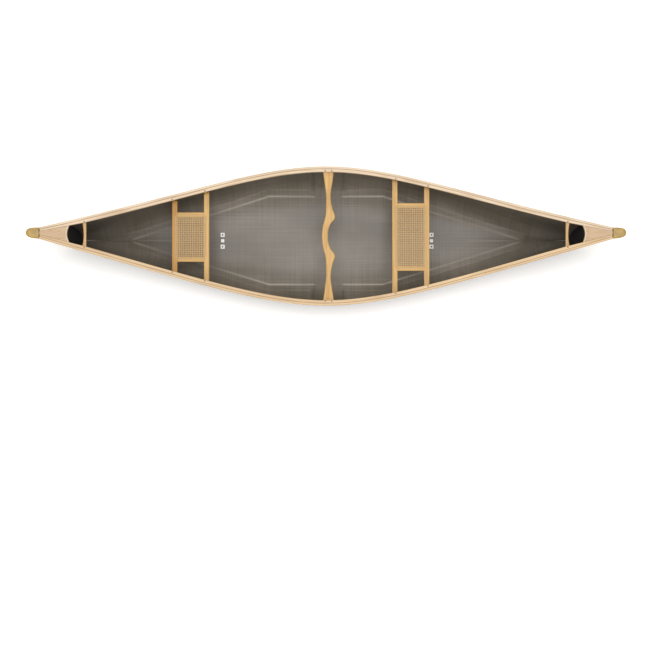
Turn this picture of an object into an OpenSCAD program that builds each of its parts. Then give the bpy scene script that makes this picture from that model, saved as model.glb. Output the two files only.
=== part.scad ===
// Tandem canoe with a laminated shell, ash gunwales, two caned seats and a carrying yoke.
// Millimetres. +X points to the bow, +Y to port and +Z up. The origin is on the floor under the middle.

/* [Hull] */
// Length between the outermost points of the two stems
hull_length = 4270; // [3900:10:4900]
// Breadth of the shell at the middle, without the outwales
hull_breadth = 966; // [860:2:1040]
// Height of the gunwales' top at the middle
gunwale_height = 366; // [320:1:420]
// Height of the gunwales' top at the ends
end_height = 590; // [500:1:680]
// Thickness of the laminate
shell = 4; // [3:0.5:6]
// Width of the flat strip along the bottom
flat_width = 160; // [80:5:240]
// Squareness of the middle section, from round to boxy
bilge_power = 3.2; // [2.4:0.1:4]
// Height of the keel's ends above the bottom
rocker = 6; // [0:1:20]
// Share of the half length over which the sheer and the bottom run straight
straight_share = 0.3; // [0.1:0.02:0.5]

/* [Stems] */
// Length over which the keel sweeps up into each stem
stem_sweep = 600; // [400:10:800]
// Height at which the stem reaches furthest out
stem_belly = 340; // [240:5:400]
// Distance from the stem's furthest point back to its top
stem_rake = 71; // [20:1:140]
// Half thickness of the stem's edge
stem_edge = 6; // [4:0.5:10]
// Distance that the end caps reach past the ends of the sheer
cap_nose = 6; // [3:1:12]

/* [Gunwales] */
// Width of each outwale
outwale_width = 17; // [12:0.5:25]
// Width of each inwale
inwale_width = 17; // [12:0.5:25]
// Height of both rails
rail_height = 24; // [18:1:32]
// Height of the inwale's lip, which covers the shell's edge
lip_height = 3.5; // [2:0.5:5]
// Distance between the screws that clamp the rails
screw_pitch = 158; // [100:1:250]

/* [Decks] */
// Distance from the middle to each deck's inner edge
deck_edge = 1806; // [1700:1:1880]
// Depth of the curve in that edge
deck_curve = 14; // [5:1:30]
// Thickness of each deck
deck_thickness = 18; // [12:1:24]

/* [Thwarts and yoke] */
// Distance from the middle to each carry thwart
thwart_at = 1706; // [1500:1:1750]
// Width of a carry thwart at its ends
thwart_width = 31; // [24:1:45]
// Width of a carry thwart at its middle
thwart_waist = 19; // [14:1:28]
// Thickness of the thwarts and the yoke
thwart_thickness = 19; // [14:1:25]
// Place of the yoke, forward of the middle
yoke_at = 18; // [-60:1:60]
// Distance between the two bolts at each end of the yoke
yoke_bolt_pitch = 46; // [30:1:54]

/* [Seats] */
// Place of the stern seat's middle
stern_seat_at = -986; // [-1100:1:-850]
// Width of the stern seat's frame
stern_seat_width = 360; // [320:2:420]
// Height of the stern seat's frame
stern_seat_top = 286; // [220:1:310]
// Place of the bow seat's middle
bow_seat_at = 617; // [520:1:720]
// Width of the bow seat's frame
bow_seat_width = 492; // [400:2:540]
// Height of the bow seat's frame
bow_seat_top = 296; // [220:1:310]
// Length of each seat, front to back
seat_depth = 270; // [230:1:320]
// Width of a seat's cross rail
cross_rail_width = 38; // [30:1:50]
// Width of a seat's side rail
side_rail_width = 32; // [24:1:45]
// Thickness of the seat rails
seat_rail_thickness = 20; // [16:1:28]
// Thickness of the woven cane
cane_thickness = 1.8; // [1:0.1:2.5]

/* [Stiffening] */
// Thickness of the core laid on the bottom
core_thickness = 5; // [3:0.5:8]
// Width of the core between its shoulders
core_width = 656; // [500:4:700]
// Distance from the middle to the core's shoulders
core_shoulder = 430; // [300:10:600]
// Distance from the middle to the core's tips
core_tip = 1480; // [1200:10:1500]
// Width of the ribs that climb the sides at the middle
rib_width = 236; // [150:2:300]

/* [Fasteners] */
// Radius of the bolts that hold the seats, thwarts and yoke
bolt_r = 3; // [2.5:0.5:4]
// Radius of the dowels that the seats hang from
dowel_r = 8; // [7:0.5:10]
// Radius of the rail screws
screw_r = 1.75; // [1.5:0.25:2.5]

/* [Floor pads] */
// Side of the square pads in front of each seat
pad_side = 33; // [24:1:44]
// Distance from the middle to the stern pads
stern_pads_at = -785; // [-830:1:-700]
// Distance from the middle to the bow pads
bow_pads_at = 802; // [770:1:860]

/* [Hidden] */
$fn = 48;

gap = 0.3;
rail_proud = lip_height + 0.5;
sheer_height = gunwale_height - rail_proud;
tip_height = end_height - rail_proud;
half_breadth = hull_breadth / 2;

// Plan shape: how soon the sides leave the middle, and the share of the cosine in their run
plan_round = 0.28;
plan_wave = 0.08;
rise_power = 2.3;
sweep_power = 2.5;
rake_power = 2.2;
// Rows are spread by these powers between keel and sheer, at the stem and in the end sections
stem_spread = 1.2;
end_vee = 0.62;
flat_row = 0.1;

stations = 44;
// The shell is one laminate, but it is divided across at these stations, counted from the middle
quarter_cut = 6;
end_cut = 18;
end_stations = 3;
rows = 16;
// Rows that share the flat strip, where the stems need them close together
flat_rows = 3;
step = 0.001;

inwale_tip = 7;
outwale_tip = 14;
bolt_share = 0.56;
head_r = 5.5;
head_height = 2.5;
nut_r = 5.5;
nut_height = 5;
screw_sink = 3;
cap_power = 2.2;
float_from = 1826;
float_to = 1930;
float_drop = 45;
float_keel = 0.03;
// Gap under the pieces that lie on the shell's inside, and how much it grows where the shell curves
seat_gap = 0.4;
curve_gap = 2.1;
float_gap = 2.2;
// Gap between the sloping inwales and a carry thwart
thwart_gap = 1.6;
// Gap between a crosspiece's end and the shell
end_clearance = 2;
dowel_slack = 1.2;
// What a deck gives away where the sides curve between its corners
deck_ease = 0.2;
cane_corner = 24;
spline_width = 5;
spline_depth = 5;
core_blunt = 12;
rib_thickness = 4;
rib_gap = 1.2;
pad_spacing = 45;
pad_height = 9;
middle_pad = 0.8;
stud_r = 3;

function blend(a, b, t) = a + (b - a) * t;
function unit(p) = p / norm(p);
function mirrored(p) = [p.x, -p.y, p.z];

// Share of the end shape that a section has at a share u of the half length
function rise(u) = pow(max(0, (abs(u) - straight_share) / (1 - straight_share)), rise_power);

// Half breadth at u, as a share of the middle's
function narrowing(u) =
    (1 - plan_wave) * (sqrt(plan_round * plan_round + u * u) - plan_round)
        / (sqrt(plan_round * plan_round + 1) - plan_round)
    + plan_wave * (1 - cos(180 * u)) / 2;
function breadth_share(u) = 1 - (1 - stem_edge / half_breadth) * narrowing(u);

// The middle section: a flat strip, then a superellipse up to the sheer
function bilge_angle(v) = 90 * max(0, (v - flat_row) / (1 - flat_row));
function bilge_r(a) = pow(pow(sin(a), bilge_power) + pow(cos(a), bilge_power), -1 / bilge_power);
function middle_y(v) =
    let (a = bilge_angle(v))
    flat_width / 2 * min(1, v / flat_row) + (half_breadth - flat_width / 2) * bilge_r(a) * sin(a);
function middle_z(v) =
    let (a = bilge_angle(v))
    sheer_height * (1 - bilge_r(a) * cos(a));

// The end sections, and the stem's outline from the side
function end_y(v) = half_breadth * pow(v, end_vee);
function stem_z(v) = rocker + (tip_height - rocker) * pow(v, stem_spread);
function set_back(z) =
    z < stem_belly
    ? stem_sweep * (1 - pow(1 - pow((stem_belly - z) / (stem_belly - rocker), sweep_power), 1 / sweep_power))
    : stem_rake * pow((z - stem_belly) / (tip_height - stem_belly), rake_power);
function stem_x(v) = hull_length / 2 - set_back(stem_z(v));

// A point of the shell's outside: u runs from stern to bow as -1 to 1, v from keel to sheer as 0 to 1
function hull_point(u, v) =
    let (g = rise(u))
    [stem_x(v) * u, breadth_share(u) * blend(middle_y(v), end_y(v), g), blend(middle_z(v), stem_z(v), g)];
// The unit normal there, pointing into the boat
function hull_normal(u, v) =
    let (w = min(v, 1 - step), along = hull_point(u + step, w) - hull_point(u - step, w))
    unit(cross(along, hull_point(u, w + step) - hull_point(u, w)));
// A point at depth d inside the shell's outside
function inside_point(u, v, d) = hull_point(u, v) + d * hull_normal(u, v);
// The row at which that inner surface meets the middle plane
function seam_row(u, d, low = 0, high = 0.8, n = 16) =
    n == 0 ? high
    : let (v = (low + high) / 2)
      inside_point(u, v, d).y > 0 ? seam_row(u, d, low, v, n - 1) : seam_row(u, d, v, high, n - 1);
// A point of the inner surface, with s from 0 at the middle plane to 1 at the row top
function inner_point(u, s, d, seam, top = 1) =
    let (p = inside_point(u, blend(seam, top, s), d))
    s == 0 ? [p.x, 0, p.z] : p;

// The sheer, by its place along the boat
tip_x = stem_x(1);
function sheer_u(x) = x / tip_x;
function rail_top(x) = hull_point(sheer_u(x), 1).z + rail_proud;
// The row that lies a given drop below the sheer
function row_below(u, drop) =
    1 - 0.1 * drop / (hull_point(u, 1).z - hull_point(u, 0.9).z);
// Slope of the sheer at x, in degrees, positive where it climbs towards the bow
function sheer_slope(x) = atan((rail_top(x + 1) - rail_top(x - 1)) / 2);
// Angle in plan between the side and the boat's length
function side_angle(x) =
    let (n = hull_normal(sheer_u(x), 1))
    atan(abs(n.x / n.y));

// The inside half breadth at x and z
function row_at(x, z, low = 0, high = 1, n = 14) =
    n == 0 ? high
    : let (v = (low + high) / 2)
      hull_point(x / stem_x(v), v).z > z ? row_at(x, z, low, v, n - 1) : row_at(x, z, v, high, n - 1);
function inside_half(x, z) =
    let (v = row_at(x, z), n = hull_normal(x / stem_x(v), v))
    hull_point(x / stem_x(v), v).y - shell / norm([n.x, n.y]);

// The inside stops here, and the stem is solid beyond
hollow_u = 0.966;
ledge_u = hollow_u + 0.0015;
hollow_end = tip_x * hollow_u;
cap_from = tip_x * ledge_u + gap;
cap_tip = tip_x + cap_nose;

// Rails are tapered beside the decks
function taper(x, from, to) = min(1, max(0, (abs(x) - from) / (to - from)));
function inwale_at(x) = blend(inwale_width, inwale_tip, taper(x, deck_edge - 100, hollow_end));
function outwale_at(x) = blend(outwale_width, outwale_tip, taper(x, deck_edge - 100, hollow_end));
// Distance across the boat that a thickness takes where the side runs at an angle
function across(x, thickness) = thickness / cos(side_angle(x));
// Inside half breadth at the sheer, and the line of the bolts
function shell_inside(x) = hull_point(sheer_u(x), 1).y - across(x, shell);
function bolt_y(x) = shell_inside(x) - across(x, gap + inwale_at(x) * bolt_share);
function rail_bottom(x) = rail_top(x) - rail_height;

// ---- Solids from grids of points ----

function flat_list(lists) = [for (l = lists) each l];
function grid_faces(n, m, first = 0, top = false) = [
    for (i = [0:n - 2], j = [0:m - 2])
        let (a = first + i * m + j, b = a + 1, c = a + m, d = c + 1)
        each top ? [[a, b, c], [b, d, c]] : [[a, c, b], [b, c, d]]
];
// A strip of faces between two lists of points, which run the same way
function strip(p, q) = [
    for (i = [0:len(p) - 2]) each [[p[i + 1], p[i], q[i]], [p[i + 1], q[i], q[i + 1]]]
];

// A solid between two grids of the same size. Rows run towards the bow and columns to port
module slab(lower, upper) {
    n = len(lower);
    m = len(lower[0]);
    t = n * m;
    stern = [for (j = [0:m - 1]) j];
    bow = [for (j = [0:m - 1]) t - 1 - j];
    starboard = [for (i = [n - 1:-1:0]) i * m];
    port = [for (i = [0:n - 1]) i * m + m - 1];
    sides = [for (edge = [stern, port, bow, starboard]) each strip([for (e = edge) e + t], edge)];
    polyhedron(
        concat(flat_list(lower), flat_list(upper)),
        concat(grid_faces(n, m), grid_faces(n, m, t, true), sides),
        convexity = 6
    );
}

// A solid swept through rings of points, which turn from up to port seen from the stern.
// The first point of a ring sees all the others
module sweep(rings) {
    n = len(rings);
    m = len(rings[0]);
    sides = [
        for (i = [0:n - 2], j = [0:m - 1])
            let (a = i * m + j, b = i * m + (j + 1) % m, c = a + m, d = b + m)
            each [[a, b, c], [b, d, c]]
    ];
    first = [for (j = [1:m - 2]) [0, j + 1, j]];
    last = [for (j = [1:m - 2]) [(n - 1) * m, (n - 1) * m + j, (n - 1) * m + j + 1]];
    polyhedron(flat_list(rings), concat(sides, first, last), convexity = 6);
}

// Places its children at both ends, or at both sides. The second of each is mirrored
module both_ends() {
    children();
    mirror([1, 0, 0]) children();
}
module both_sides() {
    children();
    mirror([0, 1, 0]) children();
}
module at_end(side) mirror([side < 0 ? 1 : 0, 0, 0]) children();
module at_side(side) mirror([0, side < 0 ? 1 : 0, 0]) children();

// ---- Shell ----

function row_v(k) =
    k < flat_rows
    ? flat_row * pow(k / flat_rows, 1.5)
    : blend(flat_row, 1, (k - flat_rows) / (rows - flat_rows));
hollow_us = [for (i = [0:stations]) blend(-hollow_u, hollow_u, i / stations)];
end_us = [for (i = [0:end_stations]) blend(ledge_u, 1, i / end_stations)];
width_points = 2 * rows + 1;

// Under the caps the shell is cut down by the height of the rails
function shell_top(u) = abs(u) > hollow_u ? row_below(u, rail_height - rail_proud + gap) : 1;
function section(at) = concat([for (k = [rows:-1:1]) mirrored(at[k])], at);
function outer_section(u) =
    let (top = shell_top(u))
    section([for (k = [0:rows]) hull_point(u, row_v(k) * top)]);
function inner_section(u) =
    let (seam = seam_row(u, shell))
    section([for (k = [0:rows]) inner_point(u, row_v(k), shell, seam)]);

// A length of shell between two stations of its hollow. One that reaches an outermost station
// takes in the solid stem beyond
module shell_between(from, to) {
    m = width_points;
    last = m - 1;
    tip = end_stations + 1;
    stern = from == -stations / 2;
    bow = to == stations / 2;
    us = [for (i = [from:to]) hollow_us[i + stations / 2]];
    stern_us = [for (i = [end_stations:-1:0]) -end_us[i]];
    all_us = concat(stern ? stern_us : [], us, bow ? end_us : []);
    extra = stern ? tip : 0;
    no = len(all_us);
    ni = len(us);
    inside = no * m;
    function o(i, j) = i * m + j;
    function q(i, j) = inside + i * m + j;
    starboard_rim = strip([for (i = [0:ni - 1]) o(i + extra, 0)], [for (i = [0:ni - 1]) q(i, 0)]);
    port_rim = strip([for (i = [ni - 1:-1:0]) o(i + extra, last)], [for (i = [ni - 1:-1:0]) q(i, last)]);
    // A section is closed from side to side, down to the keel
    function closed(base, to_bow) = [
        for (j = [0:rows - 1])
            let (a = base + j, b = a + 1, c = base + last - j, d = c - 1)
            each to_bow
                ? concat([[b, a, c]], j < rows - 1 ? [[b, c, d]] : [])
                : concat([[a, b, c]], j < rows - 1 ? [[b, d, c]] : [])
    ];
    // Where the shell is divided, only its thickness is closed
    function cut(i, k, to_bow) = [
        for (f = strip([for (j = [0:last]) o(i, j)], [for (j = [0:last]) q(k, j)]))
            to_bow ? [f[2], f[1], f[0]] : f
    ];
    function top(i) = [[o(i + 1, 0), o(i, 0), o(i, last)], [o(i + 1, 0), o(i, last), o(i + 1, last)]];
    function ledge(a, b, c, d, e, f) = [[a, b, c], [a, c, d], [a, d, f], [d, e, f]];
    b = no - tip;
    stern_faces = stern
        ? concat(
            ledge(o(tip - 1, last), o(tip, last), q(0, last), q(0, 0), o(tip, 0), o(tip - 1, 0)),
            [for (i = [0:end_stations - 1]) each top(i)], closed(0, false), closed(inside, true)
        )
        : cut(0, 0, false);
    bow_faces = bow
        ? concat(
            ledge(o(b, 0), o(b - 1, 0), q(ni - 1, 0), q(ni - 1, last), o(b - 1, last), o(b, last)),
            [for (i = [b:no - 2]) each top(i)],
            closed((no - 1) * m, true), closed(inside + (ni - 1) * m, false)
        )
        : cut(no - 1, ni - 1, true);
    polyhedron(
        concat([for (u = all_us) each outer_section(u)], [for (u = us) each inner_section(u)]),
        concat(
            grid_faces(no, m), grid_faces(ni, m, inside, true), starboard_rim, port_rim,
            stern_faces, bow_faces
        ),
        convexity = 10
    );
}

// ---- Rails ----

// A point on the shell's outer or inner face at u, a drop below the sheer, on the line of the top two rows
function on_outside(u, drop) =
    let (a = hull_point(u, 1), b = hull_point(u, row_v(rows - 1)))
    a + (b - a) * drop / (a.z - b.z);
function on_inside(u, drop) =
    let (seam = seam_row(u, shell), a = inner_point(u, 1, shell, seam),
         b = inner_point(u, row_v(rows - 1), shell, seam))
    a + (b - a) * drop / (a.z - b.z);
// Level direction from the sheer into the boat
function inward(u) =
    let (n = hull_normal(u, 1))
    unit([n.x, n.y, 0]);
up = [0, 0, 1];

function inwale_ring(u) =
    let (w = inwale_at(u * tip_x), h = inward(u), a = on_inside(u, 0),
         b = on_inside(u, rail_height - rail_proud))
    [
        a + h * gap + up * gap,
        b + h * gap,
        b + h * (gap + w),
        a + h * (gap + w) + up * rail_proud,
        on_outside(u, 0) + up * rail_proud,
        on_outside(u, 0) + up * gap
    ];
function outwale_ring(u) =
    let (w = outwale_at(u * tip_x), h = inward(u), a = on_outside(u, 0),
         b = on_outside(u, rail_height - rail_proud))
    [
        b - h * gap,
        a - h * gap + up * rail_proud,
        a - h * (gap + w) + up * rail_proud,
        b - h * (gap + w)
    ];

rail_us = [for (u = hollow_us) min(hollow_u - step, max(step - hollow_u, u))];

// The rails' screws go in from outside, square to the sheer in plan
screw_count = floor((deck_edge - 60) / screw_pitch);
module each_rail_screw() {
    for (i = [-screw_count:screw_count]) {
        x = i * screw_pitch;
        translate([x, hull_point(sheer_u(x), 1).y, rail_top(x) - rail_height / 2])
            rotate([-90, 0, sign(-x) * side_angle(x)])
                children();
    }
}
screw_reach = shell + inwale_width * 0.3;
module rail_screw_bores() {
    each_rail_screw()
        translate([0, 0, -screw_reach - gap])
            cylinder(r = screw_r + gap / 2, h = screw_reach + outwale_width + 3, $fn = 16);
}
module screw_head_bores() {
    each_rail_screw()
        translate([0, 0, outwale_width - screw_sink])
            cylinder(r = 2 * screw_r + gap, h = screw_sink + 3, $fn = 24);
}
module rail_screws() {
    each_rail_screw() {
        translate([0, 0, -screw_reach])
            cylinder(r = screw_r, h = screw_reach + outwale_width - 1, $fn = 16);
        translate([0, 0, outwale_width - screw_sink + gap])
            cylinder(r = 2 * screw_r, h = screw_sink - 1, $fn = 24);
    }
}

// Every upright bolt through the inwales: place along the boat
seat_bolts = [
    for (c = [stern_seat_at, bow_seat_at], side = [-1, 1])
        c + side * (seat_depth - cross_rail_width) / 2
];
yoke_bolts_at = [for (side = [-1, 1]) yoke_at + side * yoke_bolt_pitch / 2];

module bolt_bore(depth) {
    translate([0, 0, -depth])
        cylinder(r = bolt_r + gap / 2, h = depth + 5);
    translate([0, 0, -head_height - gap])
        cylinder(r = head_r + gap, h = head_height + 5);
}
module inwale_bores() {
    for (x = concat(seat_bolts, yoke_bolts_at))
        translate([x, bolt_y(x), rail_top(x)])
            bolt_bore(rail_height + 10);
    both_ends()
        on_thwart_bolt()
            bolt_bore(rail_height + 10);
}
// The carry thwarts lie along the sheer, so their bolts lean with it
module on_thwart() {
    translate([thwart_at, 0, rail_top(thwart_at)])
        rotate([0, -sheer_slope(thwart_at), 0])
            children();
}
module on_thwart_bolt() {
    on_thwart()
        translate([0, bolt_y(thwart_at), 0])
            children();
}

module hull(from, to) {
    color([0.2, 0.17, 0.16])
        difference() {
            shell_between(from, to);
            both_sides() rail_screw_bores();
        }
}
module inwale(side) {
    color([0.88, 0.75, 0.6])
        at_side(side)
            difference() {
                sweep([for (u = rail_us) inwale_ring(u)]);
                inwale_bores();
                rail_screw_bores();
            }
}
module outwale(side) {
    color([0.9, 0.78, 0.63])
        at_side(side)
            difference() {
                sweep([for (u = rail_us) outwale_ring(u)]);
                rail_screw_bores();
                screw_head_bores();
            }
}
module outwale_screws(side) {
    color([0.72, 0.6, 0.35])
        at_side(side)
            rail_screws();
}

// ---- Ends ----

function deck_half(x, drop) =
    let (u = sheer_u(x), lean = on_outside(u, 0).y - on_outside(u, 1).y)
    shell_inside(x) - across(x, inwale_at(x) + 2 * gap) - lean * max(0, drop - rail_proud) - deck_ease;
function deck_start(t) = deck_edge + deck_curve * (1 - t * t);
deck_end = hollow_end - 3 * gap;
deck_lengths = [0, 0.25, 0.5, 0.75, 1];
deck_widths = [-1, -0.75, -0.5, -0.25, 0, 0.25, 0.5, 0.75, 1];
function deck_skin(drop) = [
    for (s = deck_lengths) [
        for (t = deck_widths)
            let (x = blend(deck_start(t), deck_end, s))
            [x, t * deck_half(x, drop), rail_top(x) - drop]
    ]
];
module deck(side) {
    color([0.91, 0.79, 0.66])
        at_end(side)
            slab(deck_skin(deck_thickness), deck_skin(0));
}

// The cap's nose is a superellipse in plan
function cap_half(x) =
    let (t = (x - cap_from) / (cap_tip - cap_from),
         base = hull_point(ledge_u, 1).y + across(cap_from, outwale_tip))
    base * pow(1 - pow(t, cap_power), 1 / cap_power);
cap_steps = [0, 0.2, 0.4, 0.6, 0.75, 0.87, 0.95, 0.99];
// Its ends lean with the stem
cap_lean = (stem_x(shell_top(ledge_u)) - tip_x) * ledge_u;
module end_cap(side) {
    color([0.78, 0.68, 0.35])
        at_end(side)
            sweep([
                for (t = cap_steps)
                    let (x = blend(cap_from, cap_tip, t), w = cap_half(x), z = rail_top(min(x, tip_x)))
                    [
                        [x + cap_lean, -w, z - rail_height], [x, -w, z],
                        [x, w, z], [x + cap_lean, w, z - rail_height]
                    ]
            ]);
}

// Foam is glued into each end, below the deck
float_xs = [for (i = [0:6]) blend(float_from, float_to, i / 6)];
float_rows = [0, 0.08, 0.25, 0.45, 0.7, 1];
function float_ring(x) =
    let (d = shell + float_gap, seam = row_for(x, 0, d), top = row_below(sheer_u(x), float_drop),
         half = [
             for (s = float_rows)
                 let (v = blend(seam + float_keel, top, s), p = inside_point(x / stem_x(v), v, d))
                 [x, s == 0 ? 0 : p.y, p.z]
         ])
    concat(half, [for (k = [len(half) - 1:-1:1]) mirrored(half[k])]);
module float_block(side) {
    color([0.3, 0.29, 0.28])
        at_end(side)
            sweep([for (i = [len(float_xs) - 1:-1:0]) float_ring(float_xs[i])]);
}

// ---- Thwarts and yoke ----

// Half length of a crosspiece at x, which stops short of the shell at its lower face
function end_half(x, z) = inside_half(x, z) - end_clearance;

thwart_top = -rail_height - thwart_gap;
function thwart_edge(t) = -thwart_width / 2 + blend(thwart_waist, thwart_width, t * t);
// Half length of a carry thwart at its end-side or middle-side edge
function thwart_half(x) =
    let (lean = (thwart_thickness - thwart_top) * sin(sheer_slope(thwart_at)))
    end_half(x + lean, rail_bottom(x) - thwart_thickness);
module thwart_plan() {
    near = thwart_half(thwart_at - thwart_width / 2);
    far = thwart_half(thwart_at + thwart_width / 2);
    polygon(concat(
        [[-thwart_width / 2, -near], [-thwart_width / 2, near]],
        [for (i = [10:-1:-10]) [thwart_edge(i / 10), far * i / 10]]
    ));
}
module carry_thwart(side) {
    color([0.87, 0.7, 0.48])
        at_end(side)
            difference() {
                on_thwart()
                    translate([0, 0, thwart_top - thwart_thickness])
                        linear_extrude(thwart_thickness)
                            thwart_plan();
                both_sides()
                    on_thwart_bolt()
                        bolt_bore(rail_height + thwart_thickness + 10);
            }
}

// A bolt from its head down to its end, and a nut whose top is at a depth
module bolt(depth) {
    translate([0, 0, -head_height])
        cylinder(r = head_r, h = head_height);
    translate([0, 0, -depth])
        cylinder(r = bolt_r, h = depth - head_height / 2);
}
module nut(depth) {
    translate([0, 0, -depth - nut_height])
        difference() {
            cylinder(r = nut_r, h = nut_height, $fn = 6);
            translate([0, 0, -1])
                cylinder(r = bolt_r + gap / 2, h = nut_height + 2);
        }
}
carry_grip = rail_height + thwart_gap + thwart_thickness;
thwart_grip = rail_height + gap + thwart_thickness;
module carry_bolts(side) {
    color([0.7, 0.68, 0.64])
        at_end(side)
            both_sides()
                on_thwart_bolt()
                    bolt(carry_grip + nut_height + 2);
}
module carry_nuts(side) {
    color([0.62, 0.6, 0.57])
        at_end(side)
            both_sides()
                on_thwart_bolt()
                    nut(carry_grip);
}

// The yoke's outline, as distance across the boat and distance forward of its middle.
// Beyond its neck it stretches or shrinks with the boat, from the reach that it is drawn with
yoke_neck = 205;
yoke_reach = 476.8;
yoke_back = [[0, -48], [80, -40], [149, -22], [205, -18], [300, -18], [400, -30], [462, -37]];
yoke_front = [[0, -4], [36, -2], [88, 15], [136, 48], [203, 29], [265, 18], [320, 18], [400, 30], [462, 37]];
function curve(p, k, t) =
    let (a = p[max(k - 1, 0)], b = p[k], c = p[k + 1], d = p[min(k + 2, len(p) - 1)])
    ((b * 2) + (c - a) * t + (a * 2 - b * 5 + c * 4 - d) * t * t + (b * 3 - a - c * 3 + d) * t * t * t) / 2;
function smooth(p) = concat([for (k = [0:len(p) - 2], i = [0:4]) curve(p, k, i / 5)], [p[len(p) - 1]]);
function yoke_edge(p, half) = [
    for (q = concat(smooth(p), [[yoke_reach, p[len(p) - 1].y]]))
        [q.x > yoke_neck ? blend(yoke_neck, half, (q.x - yoke_neck) / (yoke_reach - yoke_neck)) : q.x, q.y]
];
module yoke_plan() {
    half = end_half(yoke_at, rail_bottom(yoke_at) - thwart_thickness);
    back = yoke_edge(yoke_back, half);
    front = yoke_edge(yoke_front, half);
    n = len(back) - 1;
    m = len(front) - 1;
    polygon(concat(
        [for (i = [0:n]) [back[i].y, back[i].x]],
        [for (i = [m:-1:0]) [front[i].y, front[i].x]],
        [for (i = [1:m]) [front[i].y, -front[i].x]],
        [for (i = [n:-1:1]) [back[i].y, -back[i].x]]
    ));
}
module yoke() {
    color([0.84, 0.67, 0.4])
        difference() {
            translate([yoke_at, 0, rail_bottom(yoke_at) - gap - thwart_thickness])
                linear_extrude(thwart_thickness)
                    yoke_plan();
            both_sides()
                for (x = yoke_bolts_at)
                    translate([x, bolt_y(x), rail_top(x)])
                        bolt_bore(thwart_grip + 10);
        }
}
module yoke_bolts() {
    color([0.7, 0.68, 0.64])
        both_sides()
            for (x = yoke_bolts_at)
                translate([x, bolt_y(x), rail_top(x)])
                    bolt(thwart_grip + nut_height + 2);
}
module yoke_nuts() {
    color([0.62, 0.6, 0.57])
        both_sides()
            for (x = yoke_bolts_at)
                translate([x, bolt_y(x), rail_top(x)])
                    nut(thwart_grip);
}

// ---- Seats ----

// A seat is [place of its middle, width of its frame, height of its top]
stern_seat = [stern_seat_at, stern_seat_width, stern_seat_top];
bow_seat = [bow_seat_at, bow_seat_width, bow_seat_top];
function rail_x(seat, end) = seat[0] + end * (seat_depth - cross_rail_width) / 2;
cane_depth = seat_depth - cross_rail_width;
function cane_width(seat) = seat[1] - side_rail_width;

module rounded(depth, width, r) {
    square([depth - 2 * r, width], center = true);
    square([depth, width - 2 * r], center = true);
    for (x = [-1, 1], y = [-1, 1])
        translate([x * (depth / 2 - r), y * (width / 2 - r)])
            circle(r);
}
module ring_outline(seat, grow) {
    difference() {
        rounded(cane_depth + grow, cane_width(seat) + grow, cane_corner + grow / 2);
        rounded(
            cane_depth - 2 * spline_width - grow, cane_width(seat) - 2 * spline_width - grow,
            cane_corner - spline_width - grow / 2
        );
    }
}
module spline_groove(seat) {
    translate([seat[0], 0, seat[2] - spline_depth])
        linear_extrude(spline_depth + 1)
            ring_outline(seat, gap);
}
module on_seat_bolts(seat, end) {
    x = rail_x(seat, end);
    both_sides()
        translate([x, bolt_y(x), rail_top(x)])
            children();
}
function seat_grip(seat, end) = rail_top(rail_x(seat, end)) - seat[2] + seat_rail_thickness;

module cross_rail(seat, end) {
    x = rail_x(seat, end);
    // The rail is as long as its narrower edge allows
    half = end_half(abs(x) + cross_rail_width / 2, seat[2] - seat_rail_thickness);
    color([0.85, 0.68, 0.43])
        difference() {
            translate([x - cross_rail_width / 2, -half, seat[2] - seat_rail_thickness])
                cube([cross_rail_width, 2 * half, seat_rail_thickness]);
            spline_groove(seat);
            on_seat_bolts(seat, end)
                bolt_bore(seat_grip(seat, end) + 10);
        }
}
module side_rail(seat, side) {
    length = seat_depth - 2 * cross_rail_width;
    color([0.86, 0.69, 0.44])
        difference() {
            translate([
                seat[0] - length / 2,
                side * (seat[1] - side_rail_width) / 2 - side_rail_width / 2,
                seat[2] - seat_rail_thickness
            ])
                cube([length, side_rail_width, seat_rail_thickness]);
            spline_groove(seat);
        }
}
// The cane lies on the frame inside its spline, which wedges it into the groove
module cane(seat) {
    inset = 2 * spline_width + 2 * gap;
    color([0.83, 0.7, 0.48])
        translate([seat[0], 0, seat[2]])
            linear_extrude(cane_thickness)
                rounded(cane_depth - inset, cane_width(seat) - inset, cane_corner - spline_width);
}
module spline(seat) {
    color([0.8, 0.66, 0.42])
        translate([seat[0], 0, seat[2] - spline_depth + gap])
            linear_extrude(spline_depth + cane_thickness - gap)
                ring_outline(seat, 0);
}
module seat_dowels(seat) {
    color([0.82, 0.65, 0.42])
        for (end = [-1, 1])
            on_seat_bolts(seat, end) {
                low = rail_top(rail_x(seat, end)) - seat[2] - gap;
                translate([0, 0, -low])
                    difference() {
                        cylinder(r = dowel_r, h = low - rail_height - dowel_slack);
                        translate([0, 0, -1])
                            cylinder(r = bolt_r + gap / 2, h = low);
                    }
            }
}
module seat_bolts_of(seat) {
    color([0.7, 0.68, 0.64])
        for (end = [-1, 1])
            on_seat_bolts(seat, end)
                bolt(seat_grip(seat, end) + nut_height + 2);
}
module seat_nuts(seat) {
    color([0.62, 0.6, 0.57])
        for (end = [-1, 1])
            on_seat_bolts(seat, end)
                nut(seat_grip(seat, end));
}

// ---- Stiffening inside the shell ----

// The row at which a surface at depth d inside the shell has a half breadth y
function row_for(x, y, d, low = 0, high = 1, n = 14) =
    n == 0 ? high
    : let (v = (low + high) / 2, p = inside_point(x / stem_x(v), v, d))
      p.y < y ? row_for(x, y, d, v, high, n - 1) : row_for(x, y, d, low, v, n - 1);
function floor_point(x, y, d) =
    let (v = row_for(x, abs(y), d), p = inside_point(x / stem_x(v), v, d))
    [p.x, y, p.z];

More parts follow.
